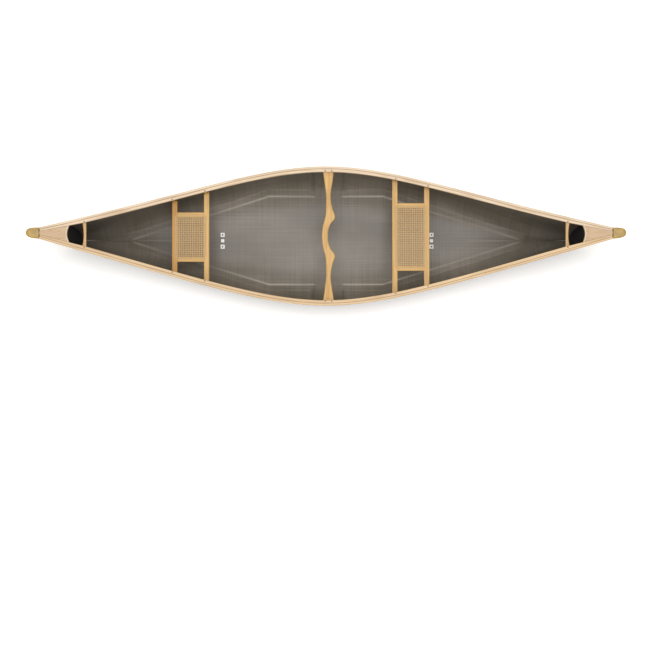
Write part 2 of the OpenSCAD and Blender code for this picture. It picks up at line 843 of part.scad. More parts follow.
function core_half(x) = core_width / 2 * (1 - taper(x, core_shoulder, core_tip)) + core_blunt;
core_xs = concat(
    [for (i = [8:-1:1]) -blend(core_shoulder, core_tip, i / 8)],
    [for (i = [-5:5]) core_shoulder * i / 5],
    [for (i = [1:8]) blend(core_shoulder, core_tip, i / 8)]
);
core_widths = [for (i = [-4:4]) i / 4];
function core_lift(x, t) = curve_gap * max(t * t * t * t, taper(x, core_shoulder / 2, 2 * core_shoulder));
function core_skin(d) = [
    for (x = core_xs) [for (t = core_widths) floor_point(x, t * core_half(x), d + core_lift(x, t))]
];
module bottom_core() {
    color([0.36, 0.34, 0.33])
        slab(core_skin(shell + seat_gap), core_skin(shell + seat_gap + core_thickness));
}

// Each rib climbs from the core to just below the yoke, row by row with the shell
rib_low = row_for(yoke_at, core_half(yoke_at) + 7, shell);
rib_high = row_below(sheer_u(yoke_at), rail_height + thwart_thickness + nut_height + 6);
rib_rows = concat(
    [rib_low],
    [for (k = [0:rows]) if (row_v(k) > rib_low + 0.01 && row_v(k) < rib_high - 0.01) row_v(k)],
    [rib_high]
);
function rib_skin(d) = [
    for (x = [yoke_at - rib_width / 2, yoke_at, yoke_at + rib_width / 2])
        [for (v = rib_rows) inside_point(x / stem_x(v), v, d)]
];
module side_rib(side) {
    color([0.3, 0.28, 0.27])
        at_side(side)
            slab(rib_skin(shell + rib_gap), rib_skin(shell + rib_gap + rib_thickness));
}

// ---- Floor pads ----

pad_rows = [-1, 0, 1];
function pad_z(x) =
    let (y = pad_spacing + pad_side / 2, lift = core_lift(x, y / core_half(x)))
    floor_point(x, y, shell + seat_gap + core_thickness + lift).z + gap;
module floor_pads(x) {
    color([0.93, 0.92, 0.9])
        for (k = pad_rows)
            translate([x, k * pad_spacing, pad_z(x)])
                difference() {
                    side = k == 0 ? pad_side * middle_pad : pad_side;
                    translate([-side / 2, -side / 2, 0])
                        cube([side, side, pad_height]);
                    if (k != 0)
                        translate([0, 0, -1])
                            cylinder(r = stud_r + gap / 2, h = pad_height + 2);
                }
}
module pad_studs(x) {
    color([0.75, 0.75, 0.74])
        for (k = [-1, 1])
            translate([x, k * pad_spacing, pad_z(x)]) {
                cylinder(r = stud_r, h = pad_height + gap);
                translate([0, 0, pad_height + gap])
                    cylinder(r = 2 * stud_r, h = 2);
            }
}

hull(-stations / 2, -end_cut);  // hull_stern_end
hull(-end_cut, -quarter_cut);  // hull_stern_quarter
hull(-quarter_cut, quarter_cut);  // hull_middle
hull(quarter_cut, end_cut);  // hull_bow_quarter
hull(end_cut, stations / 2);  // hull_bow_end
bottom_core();
side_rib(1);  // side_rib_port
side_rib(-1);  // side_rib_starboard
inwale(1);  // inwale_port
inwale(-1);  // inwale_starboard
outwale(1);  // outwale_port
outwale(-1);  // outwale_starboard
outwale_screws(1);  // outwale_screws_port
outwale_screws(-1);  // outwale_screws_starboard
deck(1);  // bow_deck
deck(-1);  // stern_deck
end_cap(1);  // bow_end_cap
end_cap(-1);  // stern_end_cap
float_block(1);  // bow_float_block
float_block(-1);  // stern_float_block
carry_thwart(1);  // bow_carry_thwart
carry_thwart(-1);  // stern_carry_thwart
carry_bolts(1);  // bow_carry_bolts
carry_bolts(-1);  // stern_carry_bolts
carry_nuts(1);  // bow_carry_nuts
carry_nuts(-1);  // stern_carry_nuts
yoke();
yoke_bolts();
yoke_nuts();
cross_rail(bow_seat, 1);  // bow_seat_front_rail
cross_rail(bow_seat, -1);  // bow_seat_rear_rail
side_rail(bow_seat, 1);  // bow_seat_port_rail
side_rail(bow_seat, -1);  // bow_seat_starboard_rail
cane(bow_seat);  // bow_seat_cane
spline(bow_seat);  // bow_seat_spline
seat_dowels(bow_seat);  // bow_seat_dowels
seat_bolts_of(bow_seat);  // bow_seat_bolts
seat_nuts(bow_seat);  // bow_seat_nuts
cross_rail(stern_seat, 1);  // stern_seat_front_rail
cross_rail(stern_seat, -1);  // stern_seat_rear_rail
side_rail(stern_seat, 1);  // stern_seat_port_rail
side_rail(stern_seat, -1);  // stern_seat_starboard_rail
cane(stern_seat);  // stern_seat_cane
spline(stern_seat);  // stern_seat_spline
seat_dowels(stern_seat);  // stern_seat_dowels
seat_bolts_of(stern_seat);  // stern_seat_bolts
seat_nuts(stern_seat);  // stern_seat_nuts
floor_pads(bow_pads_at);  // bow_floor_pads
floor_pads(stern_pads_at);  // stern_floor_pads
pad_studs(bow_pads_at);  // bow_pad_studs
pad_studs(stern_pads_at);  // stern_pad_studs
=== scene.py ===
"""The looks of an open tandem canoe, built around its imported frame.

Lengths are in metres. +X is toward the bow, +Y to port and +Z up."""

import math

import bmesh
import bpy
from bpy.props import FloatProperty, FloatVectorProperty, PointerProperty
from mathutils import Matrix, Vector


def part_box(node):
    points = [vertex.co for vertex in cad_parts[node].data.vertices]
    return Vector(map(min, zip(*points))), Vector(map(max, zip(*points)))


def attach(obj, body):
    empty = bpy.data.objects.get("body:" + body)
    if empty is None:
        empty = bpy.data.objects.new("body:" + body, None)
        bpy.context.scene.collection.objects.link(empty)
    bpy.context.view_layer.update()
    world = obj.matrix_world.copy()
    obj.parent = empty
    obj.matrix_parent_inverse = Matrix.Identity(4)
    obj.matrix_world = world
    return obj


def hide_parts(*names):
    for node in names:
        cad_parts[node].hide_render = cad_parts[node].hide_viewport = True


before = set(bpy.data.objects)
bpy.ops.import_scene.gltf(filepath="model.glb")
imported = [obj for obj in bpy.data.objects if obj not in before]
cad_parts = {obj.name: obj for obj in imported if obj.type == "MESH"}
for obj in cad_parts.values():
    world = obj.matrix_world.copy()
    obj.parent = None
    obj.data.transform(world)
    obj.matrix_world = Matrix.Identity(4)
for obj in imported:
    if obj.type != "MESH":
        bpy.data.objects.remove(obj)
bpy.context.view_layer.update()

bl_info = {
    "name": "Tandem canoe",
    "version": (1, 0, 0),
    "blender": (4, 5, 0),
    "location": "3D View > Sidebar > Canoe",
    "description": "Builds the shell, rails, seats and yoke of an open canoe",
    "category": "Add Mesh",
}

# ---- Sizes that come from the frame ----

HULL_LOW, HULL_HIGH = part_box("hull_stern_end")[0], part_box("hull_bow_end")[1]
MIDDLE_LOW, MIDDLE_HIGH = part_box("hull_middle")
YOKE_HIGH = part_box("yoke")[1]
RAIL_HEIGHT = 0.024
RAIL_GAP = 0.0003
RAIL_PROUD = 0.004
SHEER = YOKE_HIGH.z + RAIL_GAP + RAIL_HEIGHT - RAIL_PROUD
TIP_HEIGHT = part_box("bow_end_cap")[1].z - RAIL_PROUD

# ---- The lines of the hull, as in the design ----

HALF_LENGTH = (HULL_HIGH.x - HULL_LOW.x) / 2
HALF_BREADTH = (MIDDLE_HIGH.y - MIDDLE_LOW.y) / 2
HALF_FLAT = 0.08
BILGE_POWER = 3.2
STRAIGHT = 0.3
ROCKER = 0.006
STEM_SWEEP = 0.6
STEM_BELLY = 0.34
STEM_RAKE = 0.071
STEM_EDGE = 0.006
PLAN_ROUND = 0.28
PLAN_WAVE = 0.08
RISE_POWER = 2.3
SWEEP_POWER = 2.5
RAKE_POWER = 2.2
STEM_SPREAD = 1.2
END_VEE = 0.62
FLAT_ROW = 0.1
HOLLOW = 0.966
STEP = 0.0005


def blend(a, b, t):
    return a + (b - a) * t


def clamp(t):
    return min(1.0, max(0.0, t))


def ease(t):
    t = clamp(t)
    return t * t * (3 - 2 * t)


def rise(u):
    """Share of the end's shape that a section has."""
    return max(0.0, (abs(u) - STRAIGHT) / (1 - STRAIGHT)) ** RISE_POWER


def breadth_share(u):
    """Half breadth as a share of the middle's."""
    fine = (math.hypot(PLAN_ROUND, u) - PLAN_ROUND) / (math.hypot(PLAN_ROUND, 1) - PLAN_ROUND)
    wave = (1 - math.cos(math.pi * u)) / 2
    return 1 - (1 - STEM_EDGE / HALF_BREADTH) * blend(fine, wave, PLAN_WAVE)


def middle_section(v):
    """(y, z) of the middle section at a row."""
    a = math.pi / 2 * max(0.0, (v - FLAT_ROW) / (1 - FLAT_ROW))
    s, c = math.sin(a), max(0.0, math.cos(a))
    r = (s**BILGE_POWER + c**BILGE_POWER) ** (-1 / BILGE_POWER)
    y = HALF_FLAT * min(1.0, v / FLAT_ROW) + (HALF_BREADTH - HALF_FLAT) * r * s
    return y, SHEER * (1 - r * c)


def stem_z(v):
    return ROCKER + (TIP_HEIGHT - ROCKER) * max(v, 0.0) ** STEM_SPREAD


def stem_x(v):
    """How far out the stem reaches at a row."""
    z = stem_z(v)
    if z < STEM_BELLY:
        t = (STEM_BELLY - z) / (STEM_BELLY - ROCKER)
        return HALF_LENGTH - STEM_SWEEP * (1 - (1 - min(1.0, t) ** SWEEP_POWER) ** (1 / SWEEP_POWER))
    return HALF_LENGTH - STEM_RAKE * ((z - STEM_BELLY) / (TIP_HEIGHT - STEM_BELLY)) ** RAKE_POWER


TIP = stem_x(1)


def hull_point(u, v):
    """A point of the shell's outside. From stern to bow u is -1 to 1, from keel to sheer v is 0 to 1."""
    g = rise(u)
    y, z = middle_section(v)
    half = blend(y, HALF_BREADTH * max(v, 0.0) ** END_VEE, g)
    return Vector((stem_x(v) * u, breadth_share(u) * half, blend(z, stem_z(v), g)))


def hull_normal(u, v):
    """The unit normal there, into the boat."""
    w = min(max(v, STEP), 1 - STEP)
    along = hull_point(u + STEP, w) - hull_point(u - STEP, w)
    return along.cross(hull_point(u, w + STEP) - hull_point(u, w)).normalized()


def inside_point(u, v, depth):
    return hull_point(u, v) + hull_normal(u, v) * depth


def bisect(test, low, high, turns=18):
    """The place between low and high where test turns from true to false."""
    for _ in range(turns):
        middle = (low + high) / 2
        low, high = (middle, high) if test(middle) else (low, middle)
    return high


def seam_row(u, depth):
    """The row at which the surface at that depth meets the middle plane."""
    return bisect(lambda v: inside_point(u, v, depth).y < 0, 0.0, 0.8)


def row_at(x, y, depth):
    """The row at which the surface at that depth, at x, has a half breadth y."""
    return bisect(lambda v: inside_point(x / stem_x(v), v, depth).y < y, 0.0, 1.0)


def row_below(u, drop):
    """The row that lies a given drop below the sheer."""
    top = hull_point(u, 1).z
    return bisect(lambda v: hull_point(u, v).z < top - drop, 0.5, 1.0)


def inward(u):
    """The level direction from the sheer into the boat."""
    n = hull_normal(u, 1)
    return Vector((n.x, n.y, 0)).normalized()


def rail_top(x):
    return hull_point(x / TIP, 1).z + RAIL_PROUD


def sheer_slope(x):
    return math.atan((rail_top(x + 0.001) - rail_top(x - 0.001)) / 0.002)


def side_angle(x):
    n = hull_normal(x / TIP, 1)
    return math.atan(abs(n.x / n.y))


# ---- Meshes ----


def span(low, high, count):
    return [blend(low, high, i / (count - 1)) for i in range(count)]


def mirrored(p):
    return Vector((p.x, -p.y, p.z))


def shell_faces(rows, columns, first=0, flip=False):
    """Quads over a grid of points. Rows run to the bow and columns to port, and the faces look down."""
    faces = []
    for i in range(rows - 1):
        for j in range(columns - 1):
            a = first + i * columns + j
            quad = (a, a + 1, a + columns + 1, a + columns)
            faces.append(quad[::-1] if flip else quad)
    return faces


def slab(lower, upper):
    """A closed solid between two grids of the same size."""
    n, m = len(lower), len(lower[0])
    t = n * m
    points = [p for grid in (lower, upper) for row in grid for p in row]
    edge = list(range(m))
    edge += [i * m + m - 1 for i in range(1, n)]
    edge += [(n - 1) * m + j for j in range(m - 2, -1, -1)]
    edge += [i * m for i in range(n - 2, 0, -1)]
    sides = [(a, a + t, b + t, b) for a, b in zip(edge, edge[1:] + edge[:1])]
    return points, shell_faces(n, m) + shell_faces(n, m, t, True) + sides


def loft(rings, loop=False):
    """A closed solid through rings of points. It is a loop, or fans fill both of its ends."""
    n, m = len(rings), len(rings[0])
    points = [p for ring in rings for p in ring]
    faces = []
    for i in range(n if loop else n - 1):
        onward = (i + 1) % n * m
        for j in range(m):
            k = (j + 1) % m
            faces.append((i * m + j, i * m + k, onward + k, onward + j))
    if loop:
        return points, faces
    for ring, first, turn in ((rings[0], 0, -1), (rings[-1], (n - 1) * m, 1)):
        middle = len(points)
        points.append(sum(ring, Vector()) / m)
        for j in range(m):
            pair = (first + j, first + (j + 1) % m)[::turn]
            faces.append((*pair, middle))
    return points, faces


def join(*solids):
    """Several solids as one list of points and one of faces."""
    points, faces = [], []
    for some_points, some_faces in solids:
        first = len(points)
        points += some_points
        faces += [tuple(k + first for k in face) for face in some_faces]
    return points, faces


def lathe(profile, at, axis=(0, 0, 1), sides=20):
    """A turned solid. Its profile, from end to end, is (distance along the axis, radius)."""
    turn = Vector((0, 0, 1)).rotation_difference(Vector(axis))
    rings = []
    for along, radius in profile:
        ring = []
        for j in range(sides):
            a = 2 * math.pi * j / sides
            ring.append(Vector(at) + turn @ Vector((radius * math.cos(a), radius * math.sin(a), along)))
        rings.append(ring)
    return loft(rings)


def add_piece(name, solid, nodes, materials, grain=None, pick=None, sharp=35, joint_and_painted_light=None):
    """Makes an object from a solid, lets it ride on the body and stand for its CAD nodes.
    grain gives each point's place along, across and through the material, for weave and wood,
    and joint_and_painted_light its distance from a glue line of the wood, or the cloth's painted highlight
    and painted shade."""
    points, faces = solid
    mesh = bpy.data.meshes.new(name)
    mesh.from_pydata(points, [], faces)
    for material in materials if isinstance(materials, (list, tuple)) else [materials]:
        mesh.materials.append(material)
    if pick:
        mesh.polygons.foreach_set("material_index", [pick(i) for i in range(len(faces))])
    places = grain if isinstance(grain, list) else [grain(p) if grain else p for p in points]
    layer = mesh.attributes.new("grain", "FLOAT_VECTOR", "POINT")
    layer.data.foreach_set("vector", [c for place in places for c in place])
    if joint_and_painted_light:
        mesh.attributes.new("joint_and_painted_light", "FLOAT", "POINT").data.foreach_set("value", joint_and_painted_light)
    mesh.polygons.foreach_set("use_smooth", [True] * len(faces))
    solid_mesh = bmesh.new()
    solid_mesh.from_mesh(mesh)
    bmesh.ops.recalc_face_normals(solid_mesh, faces=solid_mesh.faces)
    solid_mesh.to_mesh(mesh)
    solid_mesh.free()
    mesh.set_sharp_from_angle(angle=math.radians(sharp))
    mesh.update()
    piece = bpy.data.objects.new(name, mesh)
    bpy.context.scene.collection.objects.link(piece)
    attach(piece, "root")
    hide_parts(*nodes)
    return piece


# ---- Materials ----


class Value:
    """A socket that adds Math nodes when it is used in an expression."""

    def __init__(self, finish, socket):
        self.finish = finish
        self.socket = socket

    def math(self, operation, *inputs):
        return self.finish.node("ShaderNodeMath", {"operation": operation}, dict(enumerate(inputs)))

    def __add__(self, other):
        return self.math("ADD", self, other)

    def __radd__(self, other):
        return self.math("ADD", other, self)

    def __sub__(self, other):
        return self.math("SUBTRACT", self, other)

    def __rsub__(self, other):
        return self.math("SUBTRACT", other, self)

    def __mul__(self, other):
        return self.math("MULTIPLY", self, other)

    def __pow__(self, other):
        return self.math("POWER", self, other)

    def sine(self):
        return self.math("SINE", self)

    def between(self, low, high):
        """0 below low, 1 above high and smooth between them."""
        inputs = {"Value": self, "From Min": low, "From Max": high}
        return self.finish.node("ShaderNodeMapRange", {"interpolation_type": "SMOOTHSTEP"}, inputs)


class Finish:
    """A material that is being made: its shader, and one method that adds any other node."""

    def __init__(self, name):
        self.material = bpy.data.materials.new(name)
        self.material.use_nodes = True
        self.tree = self.material.node_tree
        self.shader = self.tree.nodes["Principled BSDF"]

    def put(self, socket, value):
        if isinstance(value, Value):
            self.tree.links.new(value.socket, socket)
        elif value is not None:
            wide = hasattr(value, "__len__") and len(value) == 3 and socket.type == "RGBA"
            socket.default_value = (*value, 1) if wide else value

    def node(self, kind, settings=None, inputs=None, output=0):
        made = self.tree.nodes.new(kind)
        for key, value in (settings or {}).items():
            setattr(made, key, value)
        for key, value in (inputs or {}).items():
            self.put(made.inputs[key], value)
        return Value(self, made.outputs[output])

    def attribute(self, name, output="Fac"):
        return self.node("ShaderNodeAttribute", {"attribute_name": name}, output=output)

    def grain(self, upright=False):
        """The piece's own coordinates: along, across and through. An upright piece takes them
        from its place in the boat."""
        if upright:
            x, y, z = self.axes(self.node("ShaderNodeTexCoord", output="Object"))
            return self.node("ShaderNodeCombineXYZ", None, {0: z, 1: x, 2: y})
        return self.attribute("grain", "Vector")

    def scaled(self, vector, scale):
        return self.node("ShaderNodeVectorMath", {"operation": "MULTIPLY"}, {0: vector, 1: scale})

    def axes(self, vector):
        split = self.tree.nodes.new("ShaderNodeSeparateXYZ")
        self.put(split.inputs[0], vector)
        return [Value(self, out) for out in split.outputs]

    def noise(self, vector, scale, detail=2.0, roughness=0.5, distortion=0.0):
        """Noise from 0 to 1 in coordinates that are scaled by three numbers a metre."""
        inputs = {
            "Vector": self.scaled(vector, scale), "Scale": 1.0, "Detail": detail,
            "Roughness": roughness, "Distortion": distortion,
        }
        return self.node("ShaderNodeTexNoise", None, inputs)

    def mix(self, share, a, b, kind="MIX"):
        settings = {"data_type": "RGBA", "blend_type": kind}
        return self.node("ShaderNodeMix", settings, {0: share, 6: a, 7: b}, output=2)

    def tint(self, colour, amount):
        """A colour made lighter or darker by a value round 1."""
        grey = self.node("ShaderNodeCombineColor", None, {0: amount, 1: amount, 2: amount})
        return self.mix(1.0, colour, grey, "MULTIPLY")

    def bump(self, height, distance, strength=1.0):
        inputs = {"Height": height, "Distance": distance, "Strength": strength}
        return self.node("ShaderNodeBump", None, inputs)

    def surface(self, **sockets):
        for key, value in sockets.items():
            self.put(self.shader.inputs[key.replace("_", " ").title().replace("Ior", "IOR")], value)
        return self.material


def woven(finish, vector, tow):
    """Plain weave with a given tow width: (height, which tow lies on top)."""
    along, across, _ = finish.axes(finish.scaled(vector, [math.pi / tow] * 3))
    over = along.sine() * across.sine()
    warp = (along * 2).sine() * 0.5 + 0.5
    weft = (across * 2).sine() * 0.5 + 0.5
    share = over.between(-0.25, 0.25)
    return blend(warp, weft, share), share


def inner_laminate(name, colours, ridged=False):
    """Satin woven cloth inside the boat, streaked where tows differ. Ridged cloth has a painted
    highlight where it bends round the core and at its edge, and painted shade along the ribs' edges."""
    finish = Finish(name)
    grain = finish.grain()
    height, over = woven(finish, grain, 0.0045)
    across = finish.noise(grain, (90, 1.1, 1), 3, 0.75)
    along = finish.noise(grain, (1.1, 90, 1), 3, 0.75)
    cloud = finish.noise(grain, (1.3, 2.2, 1), 3, 0.5)
    tone = 0.1 + across * 0.85 + along * 0.85 + over * 0.1
    # Painted highlight over the core's bevel and the cloth's edge, and painted shade along the ribs' edges
    if ridged:
        tone = tone + finish.attribute("joint_and_painted_light") * 0.75
    base = finish.mix(cloud.between(0.25, 0.75), colours.inside_dark, colours.inside_light)
    colour = finish.tint(base, tone)
    rough = 0.32 + across * 0.12 + along * 0.12 + height * 0.05
    return finish.surface(
        base_color=colour, roughness=rough, coat_weight=0.22, coat_roughness=0.3,
        normal=finish.bump(height, 0.0003, 0.5),
    )


def outer_laminate(name, colours):
    """Dark cloth below a clear glossy coat. Gold patches and fine sparks in its colour are partly the gold
    of the tows, partly painted glint.
    """
    finish = Finish(name)
    grain = finish.grain()
    height, over = woven(finish, grain, 0.004)
    cloud = finish.noise(grain, (1.1, 5.0, 1), 3, 0.5)
    streak = finish.noise(grain, (1.2, 110, 1), 3, 0.7)
    upright = finish.noise(grain, (110, 1.2, 1), 3, 0.7)
    spark = finish.noise(grain, (240, 240, 1), 1, 0.5)
    # Gold patches: partly the tows' own gold, partly painted glint
    base = finish.mix(cloud.between(0.4, 0.8), colours.outside_dark, colours.outside_gold_and_painted_glint)
    # The fine sparks in the tone are painted glint
    tone = over * 0.4 + streak * 0.65 + upright * 0.65 + spark * 0.25
    colour = finish.tint(base, tone)
    wave = finish.noise(grain, (2.5, 9, 1), 3, 0.5)
    return finish.surface(
        base_color=colour, roughness=0.34 + height * 0.12, coat_weight=0.5, coat_roughness=0.06,
        coat_ior=1.42, specular_ior_level=0.1,
        normal=finish.bump(wave * 0.6 + height * 0.06, 0.0004, 0.35),
    )


def wood(name, pale, deep, rings=90.0, gloss=0.5, upright=False, joined=False):
    """Straight-grained wood under oil or varnish: growth rings, pores and slow changes of tone.
    Joined wood is dark along its glue line."""
    finish = Finish(name)
    grain = finish.grain(upright)
    drift = finish.noise(grain, (1.6, 22, 22), 3, 0.55)
    _, across, through = finish.axes(grain)
    ring = ((across * rings + through * rings * 0.7 + drift * 7.0) * (2 * math.pi) * 0.6).sine() * 0.5 + 0.5
    late = ring**2.2
    pores = finish.noise(grain, (30, 1500, 1500), 2, 0.6).between(0.56, 0.7)
    cloud = finish.noise(grain, (2.5, 30, 30), 3, 0.6)
    share = late * 0.42 + pores * 0.28 + cloud.between(0.35, 0.75) * 0.3
    stock = finish.noise(grain, (0.21, 0.9, 0.9), 1, 0.4)
    colour = finish.tint(finish.mix(share, pale, deep), 0.82 + stock * 0.36)
    if joined:
        line = 1 - finish.attribute("joint_and_painted_light").between(0.0006, 0.0024)
        colour = finish.mix(line * 0.75, colour, (0.13, 0.07, 0.035))
    rough = gloss + share * 0.16
    return finish.surface(
        base_color=colour, roughness=rough, coat_weight=0.06, coat_roughness=0.25,
        normal=finish.bump(0.0 - (pores * 0.7 + late * 0.3), 0.0002, 0.5),
    )


def joined_wood(name, pale, deep):
    return wood(name, pale, deep, 70.0, joined=True)


def cane_skin(name, colours):
    """Glossy cane bark: each strand has its own tone, with fine lengthwise fibres."""
    finish = Finish(name)
    grain = finish.grain()
    strand = finish.noise(grain, (0.6, 400, 60), 1, 0.5)
    fibre = finish.noise(grain, (40, 4000, 4000), 2, 0.6)
    node = finish.noise(grain, (9, 130, 130), 2, 0.5).between(0.6, 0.72)
    base = finish.mix(strand.between(0.3, 0.7), colours.cane_light, colours.cane_dark)
    colour = finish.tint(base, 0.86 + fibre * 0.28 - node * 0.18)
    return finish.surface(
        base_color=colour, roughness=0.34 + fibre * 0.2, coat_weight=0.2, coat_roughness=0.2,
        normal=finish.bump(fibre, 0.0001, 0.5),
    )


def fibre_resin(name, colours):
    """Yellow fibres set in clear resin, with an uneven olive cast."""
    finish = Finish(name)
    grain = finish.grain()
    mat = finish.noise(grain, (130, 130, 130), 4, 0.7, 1.2)
    hairs = finish.noise(grain, (60, 700, 500), 3, 0.7, 2.0)
    cast = finish.noise(grain, (26, 26, 26), 2, 0.5)
    base = finish.mix(cast.between(0.35, 0.7), colours.cap_yellow, colours.cap_olive)
    colour = finish.tint(base, 0.72 + mat * 0.34 + hairs * 0.28)
    return finish.surface(
        base_color=colour, roughness=0.45 + mat * 0.2, coat_weight=0.25, coat_roughness=0.3,
        normal=finish.bump(mat * 0.6 + hairs * 0.4, 0.0006, 0.5),
    )


def metal(name, colour, rough, upright=False):
    """Worn metal with fine turning marks."""
    finish = Finish(name)
    grain = finish.grain(upright)
    marks = finish.noise(grain, (900, 900, 5000), 2, 0.6)
    dull = finish.noise(grain, (300, 300, 300), 3, 0.6)
    return finish.surface(
        base_color=finish.tint(colour, 0.75 + dull * 0.4),
        metallic=1.0, roughness=rough + dull * 0.25 + marks * 0.08,
        normal=finish.bump(marks, 0.0001, 0.3),
    )


def plastic(name, colour, rough):
    """Moulded plastic with a fine texture and a little dirt."""
    finish = Finish(name)
    grain = finish.grain()
    spark = finish.noise(grain, (1600, 1600, 1600), 2, 0.6)
    dirt = finish.noise(grain, (60, 60, 60), 4, 0.6)
    return finish.surface(
        base_color=finish.tint(colour, 0.9 + dirt * 0.16),
        roughness=rough + dirt * 0.15, normal=finish.bump(spark, 0.0001, 0.4),
    )


def foam(name, colours):
    """Closed-cell foam sealed with dark resin."""
    finish = Finish(name)
    grain = finish.grain()
    fine = finish.scaled(grain, (260, 260, 260))
    cells = finish.node("ShaderNodeTexVoronoi", None, {"Vector": fine, "Scale": 1.0})
    cloud = finish.noise(grain, (14, 14, 14), 4, 0.6)
    return finish.surface(
        base_color=finish.tint(colours.foam, 0.6 + cloud * 0.7),
        roughness=0.5 + cloud * 0.2, normal=finish.bump(cells, 0.0006, 0.6),
    )


def finish_named(name):
    """A material that an operator needs, made once and then found again."""
    found = bpy.data.materials.get(name)
    if found:
        return found
    colours = bpy.context.scene.canoe_colours
    maker, *settings = {
        "Inner laminate": (inner_laminate, colours),
        "Core cloth": (inner_laminate, colours, True),
        "Outer laminate": (outer_laminate, colours),
        # Port and starboard rails are one ash; their two colours are painted light, paler and greyer to
        # port, more golden to starboard
        "Port ash": (joined_wood, colours.ash_white, colours.ash_deep),
        "Starboard ash": (joined_wood, colours.ash_pale, colours.ash_deep),
        "Deck ash": (joined_wood, colours.deck_pale, colours.ash_deep),
        # The deck's bevelled inner edge is painted paler: a painted highlight
        "Pale edge": (wood, colours.deck_bevel_painted_highlight, colours.ash_pale, 90.0),
        "Honey wood": (wood, colours.honey_pale, colours.honey_deep, 60.0, 0.48),
        # The stern seat's rear rail: the honey wood painted darker and more orange, as painted shade
        "Ochre wood": (wood, colours.painted_shade_honey_pale, colours.painted_shade_honey_deep, 60.0, 0.48),
        "Thwart wood": (wood, colours.thwart_pale, colours.thwart_deep, 80.0),
        "Dowel wood": (wood, colours.honey_pale, colours.honey_deep, 90.0, 0.4, True),
        "Nut steel": (metal, colours.steel, 0.3, True),
        "Stainless steel": (metal, colours.steel, 0.28),
        "Dull brass": (metal, colours.brass, 0.38),
        "Cane": (cane_skin, colours),
        "Fibre and resin": (fibre_resin, colours),
        "White plastic": (plastic, colours.pads, 0.4),
        "Sealed foam": (foam, colours),
    }[name]
    return maker(name, *settings)


# ---- Shell ----

SHELL = 0.004
HULL_NODES = ["hull_stern_end", "hull_stern_quarter", "hull_middle", "hull_bow_quarter", "hull_bow_end"]
LOW_ROW = 0.93


def spread(rows, flat_rows):
    """Rows from keel to sheer, drawn together along the keel for the sake of the stems."""
    flat = [FLAT_ROW * (k / flat_rows) ** 1.5 for k in range(flat_rows)]
    return flat + span(FLAT_ROW, 1, rows - flat_rows)


def both_sides(half):
    return [mirrored(p) for p in reversed(half[1:])] + half


def girths(section):
    """How far each point of a section lies from its middle point along the surface."""
    middle = len(section) // 2
    lengths = [0.0] * len(section)
    for j in range(middle + 1, len(section)):
        lengths[j] = lengths[j - 1] + (section[j] - section[j - 1]).length
        lengths[2 * middle - j] = -lengths[j]
    return lengths


def hull_shell():
    """The laminate as one closed solid with solid stems: points, faces outside, faces inside, grain."""
    hollow = span(-HOLLOW, HOLLOW, 181)
    tips = span(HOLLOW + 0.0015, 1, 8)
    stations = [-u for u in reversed(tips)] + hollow + tips
    rows = spread(50, 8)
    outer, inner = [], []
    for u in stations:
        top = 1.0 if abs(u) <= HOLLOW else row_below(abs(u), RAIL_HEIGHT - RAIL_PROUD + RAIL_GAP)
        outer.append(both_sides([hull_point(u, v * top) for v in rows]))
    for u in hollow:
        seam = seam_row(u, SHELL)
        half = [inside_point(u, blend(seam, 1, v), SHELL) for v in rows]
        half[0].y = 0
        inner.append(both_sides(half))
    m, n, k, extra = len(outer[0]), len(outer), len(inner), len(tips)
    last, first_inside = m - 1, n * m

    def o(i, j):
        return i * m + j

    def q(i, j):
        return first_inside + i * m + j

    outside = shell_faces(n, m)
    for i in range(k - 1):
        a = i + extra
        outside.append((o(a, 0), o(a + 1, 0), q(i + 1, 0), q(i, 0)))
        outside.append((o(a + 1, last), o(a, last), q(i, last), q(i + 1, last)))
    for i in list(range(extra - 1)) + list(range(n - extra, n - 1)):
        outside.append((o(i, 0), o(i + 1, 0), o(i + 1, last), o(i, last)))
    a, b = extra - 1, n - extra
    outside.append((o(a, 0), o(a + 1, 0), q(0, 0), q(0, last), o(a + 1, last), o(a, last)))
    outside.append((o(b, last), o(b - 1, last), q(k - 1, last), q(k - 1, 0), o(b - 1, 0), o(b, 0)))
    for j in range(last // 2):
        outside.append((j + 1, j, last - j, last - j - 1))
        outside.append((o(n - 1, j), o(n - 1, j + 1), o(n - 1, last - j - 1), o(n - 1, last - j)))
    inside = shell_faces(k, m, first_inside, True)
    for j in range(last // 2):
        inside.append((q(0, j), q(0, j + 1), q(0, last - j - 1), q(0, last - j)))
        inside.append((q(k - 1, j + 1), q(k - 1, j), q(k - 1, last - j), q(k - 1, last - j - 1)))
    points = [p for section in outer + inner for p in section]
    grain = [Vector((p.x, g, 0)) for section in outer + inner for p, g in zip(section, girths(section))]
    return points, outside, inside, grain


# ---- Rails ----

DECK_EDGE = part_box("bow_deck")[0].x
HOLLOW_END = TIP * HOLLOW
TAPER_RUN = 0.1
INWALE, INWALE_TIP, OUTWALE_TIP = 0.017, 0.007, 0.014


def taper(x, start, stop):
    return clamp((abs(x) - start) / (stop - start))


def rail_width(x, middle, tip):
    """The width of a rail that narrows from a little inboard of the deck to the tip."""
    return blend(middle, tip, taper(x, DECK_EDGE - TAPER_RUN, HOLLOW_END))


def across(x, thickness):
    """The distance across the boat that a thickness takes where the side runs at an angle."""
    return thickness / math.cos(side_angle(x))


def on_shell(u, drop, depth):
    """A point of the shell's outer face, or of one at a depth, a drop below the sheer."""
    a, b = inside_point(u, 1, depth), inside_point(u, LOW_ROW, depth)
    return a + (b - a) * (drop / (a.z - b.z))


def soft_ring(corners, softness, turns=4):
    """A ring through corners, each rounded off over its own length."""
    ring = []
    for k, (p, r) in enumerate(zip(corners, softness)):
        back = (corners[k - 1] - p).normalized() * r
        ahead = (corners[(k + 1) % len(corners)] - p).normalized() * r
        for i in range(turns + 1):
            s = i / turns
            ring.append(p + back * (1 - s) ** 2 + ahead * s * s)
    return ring


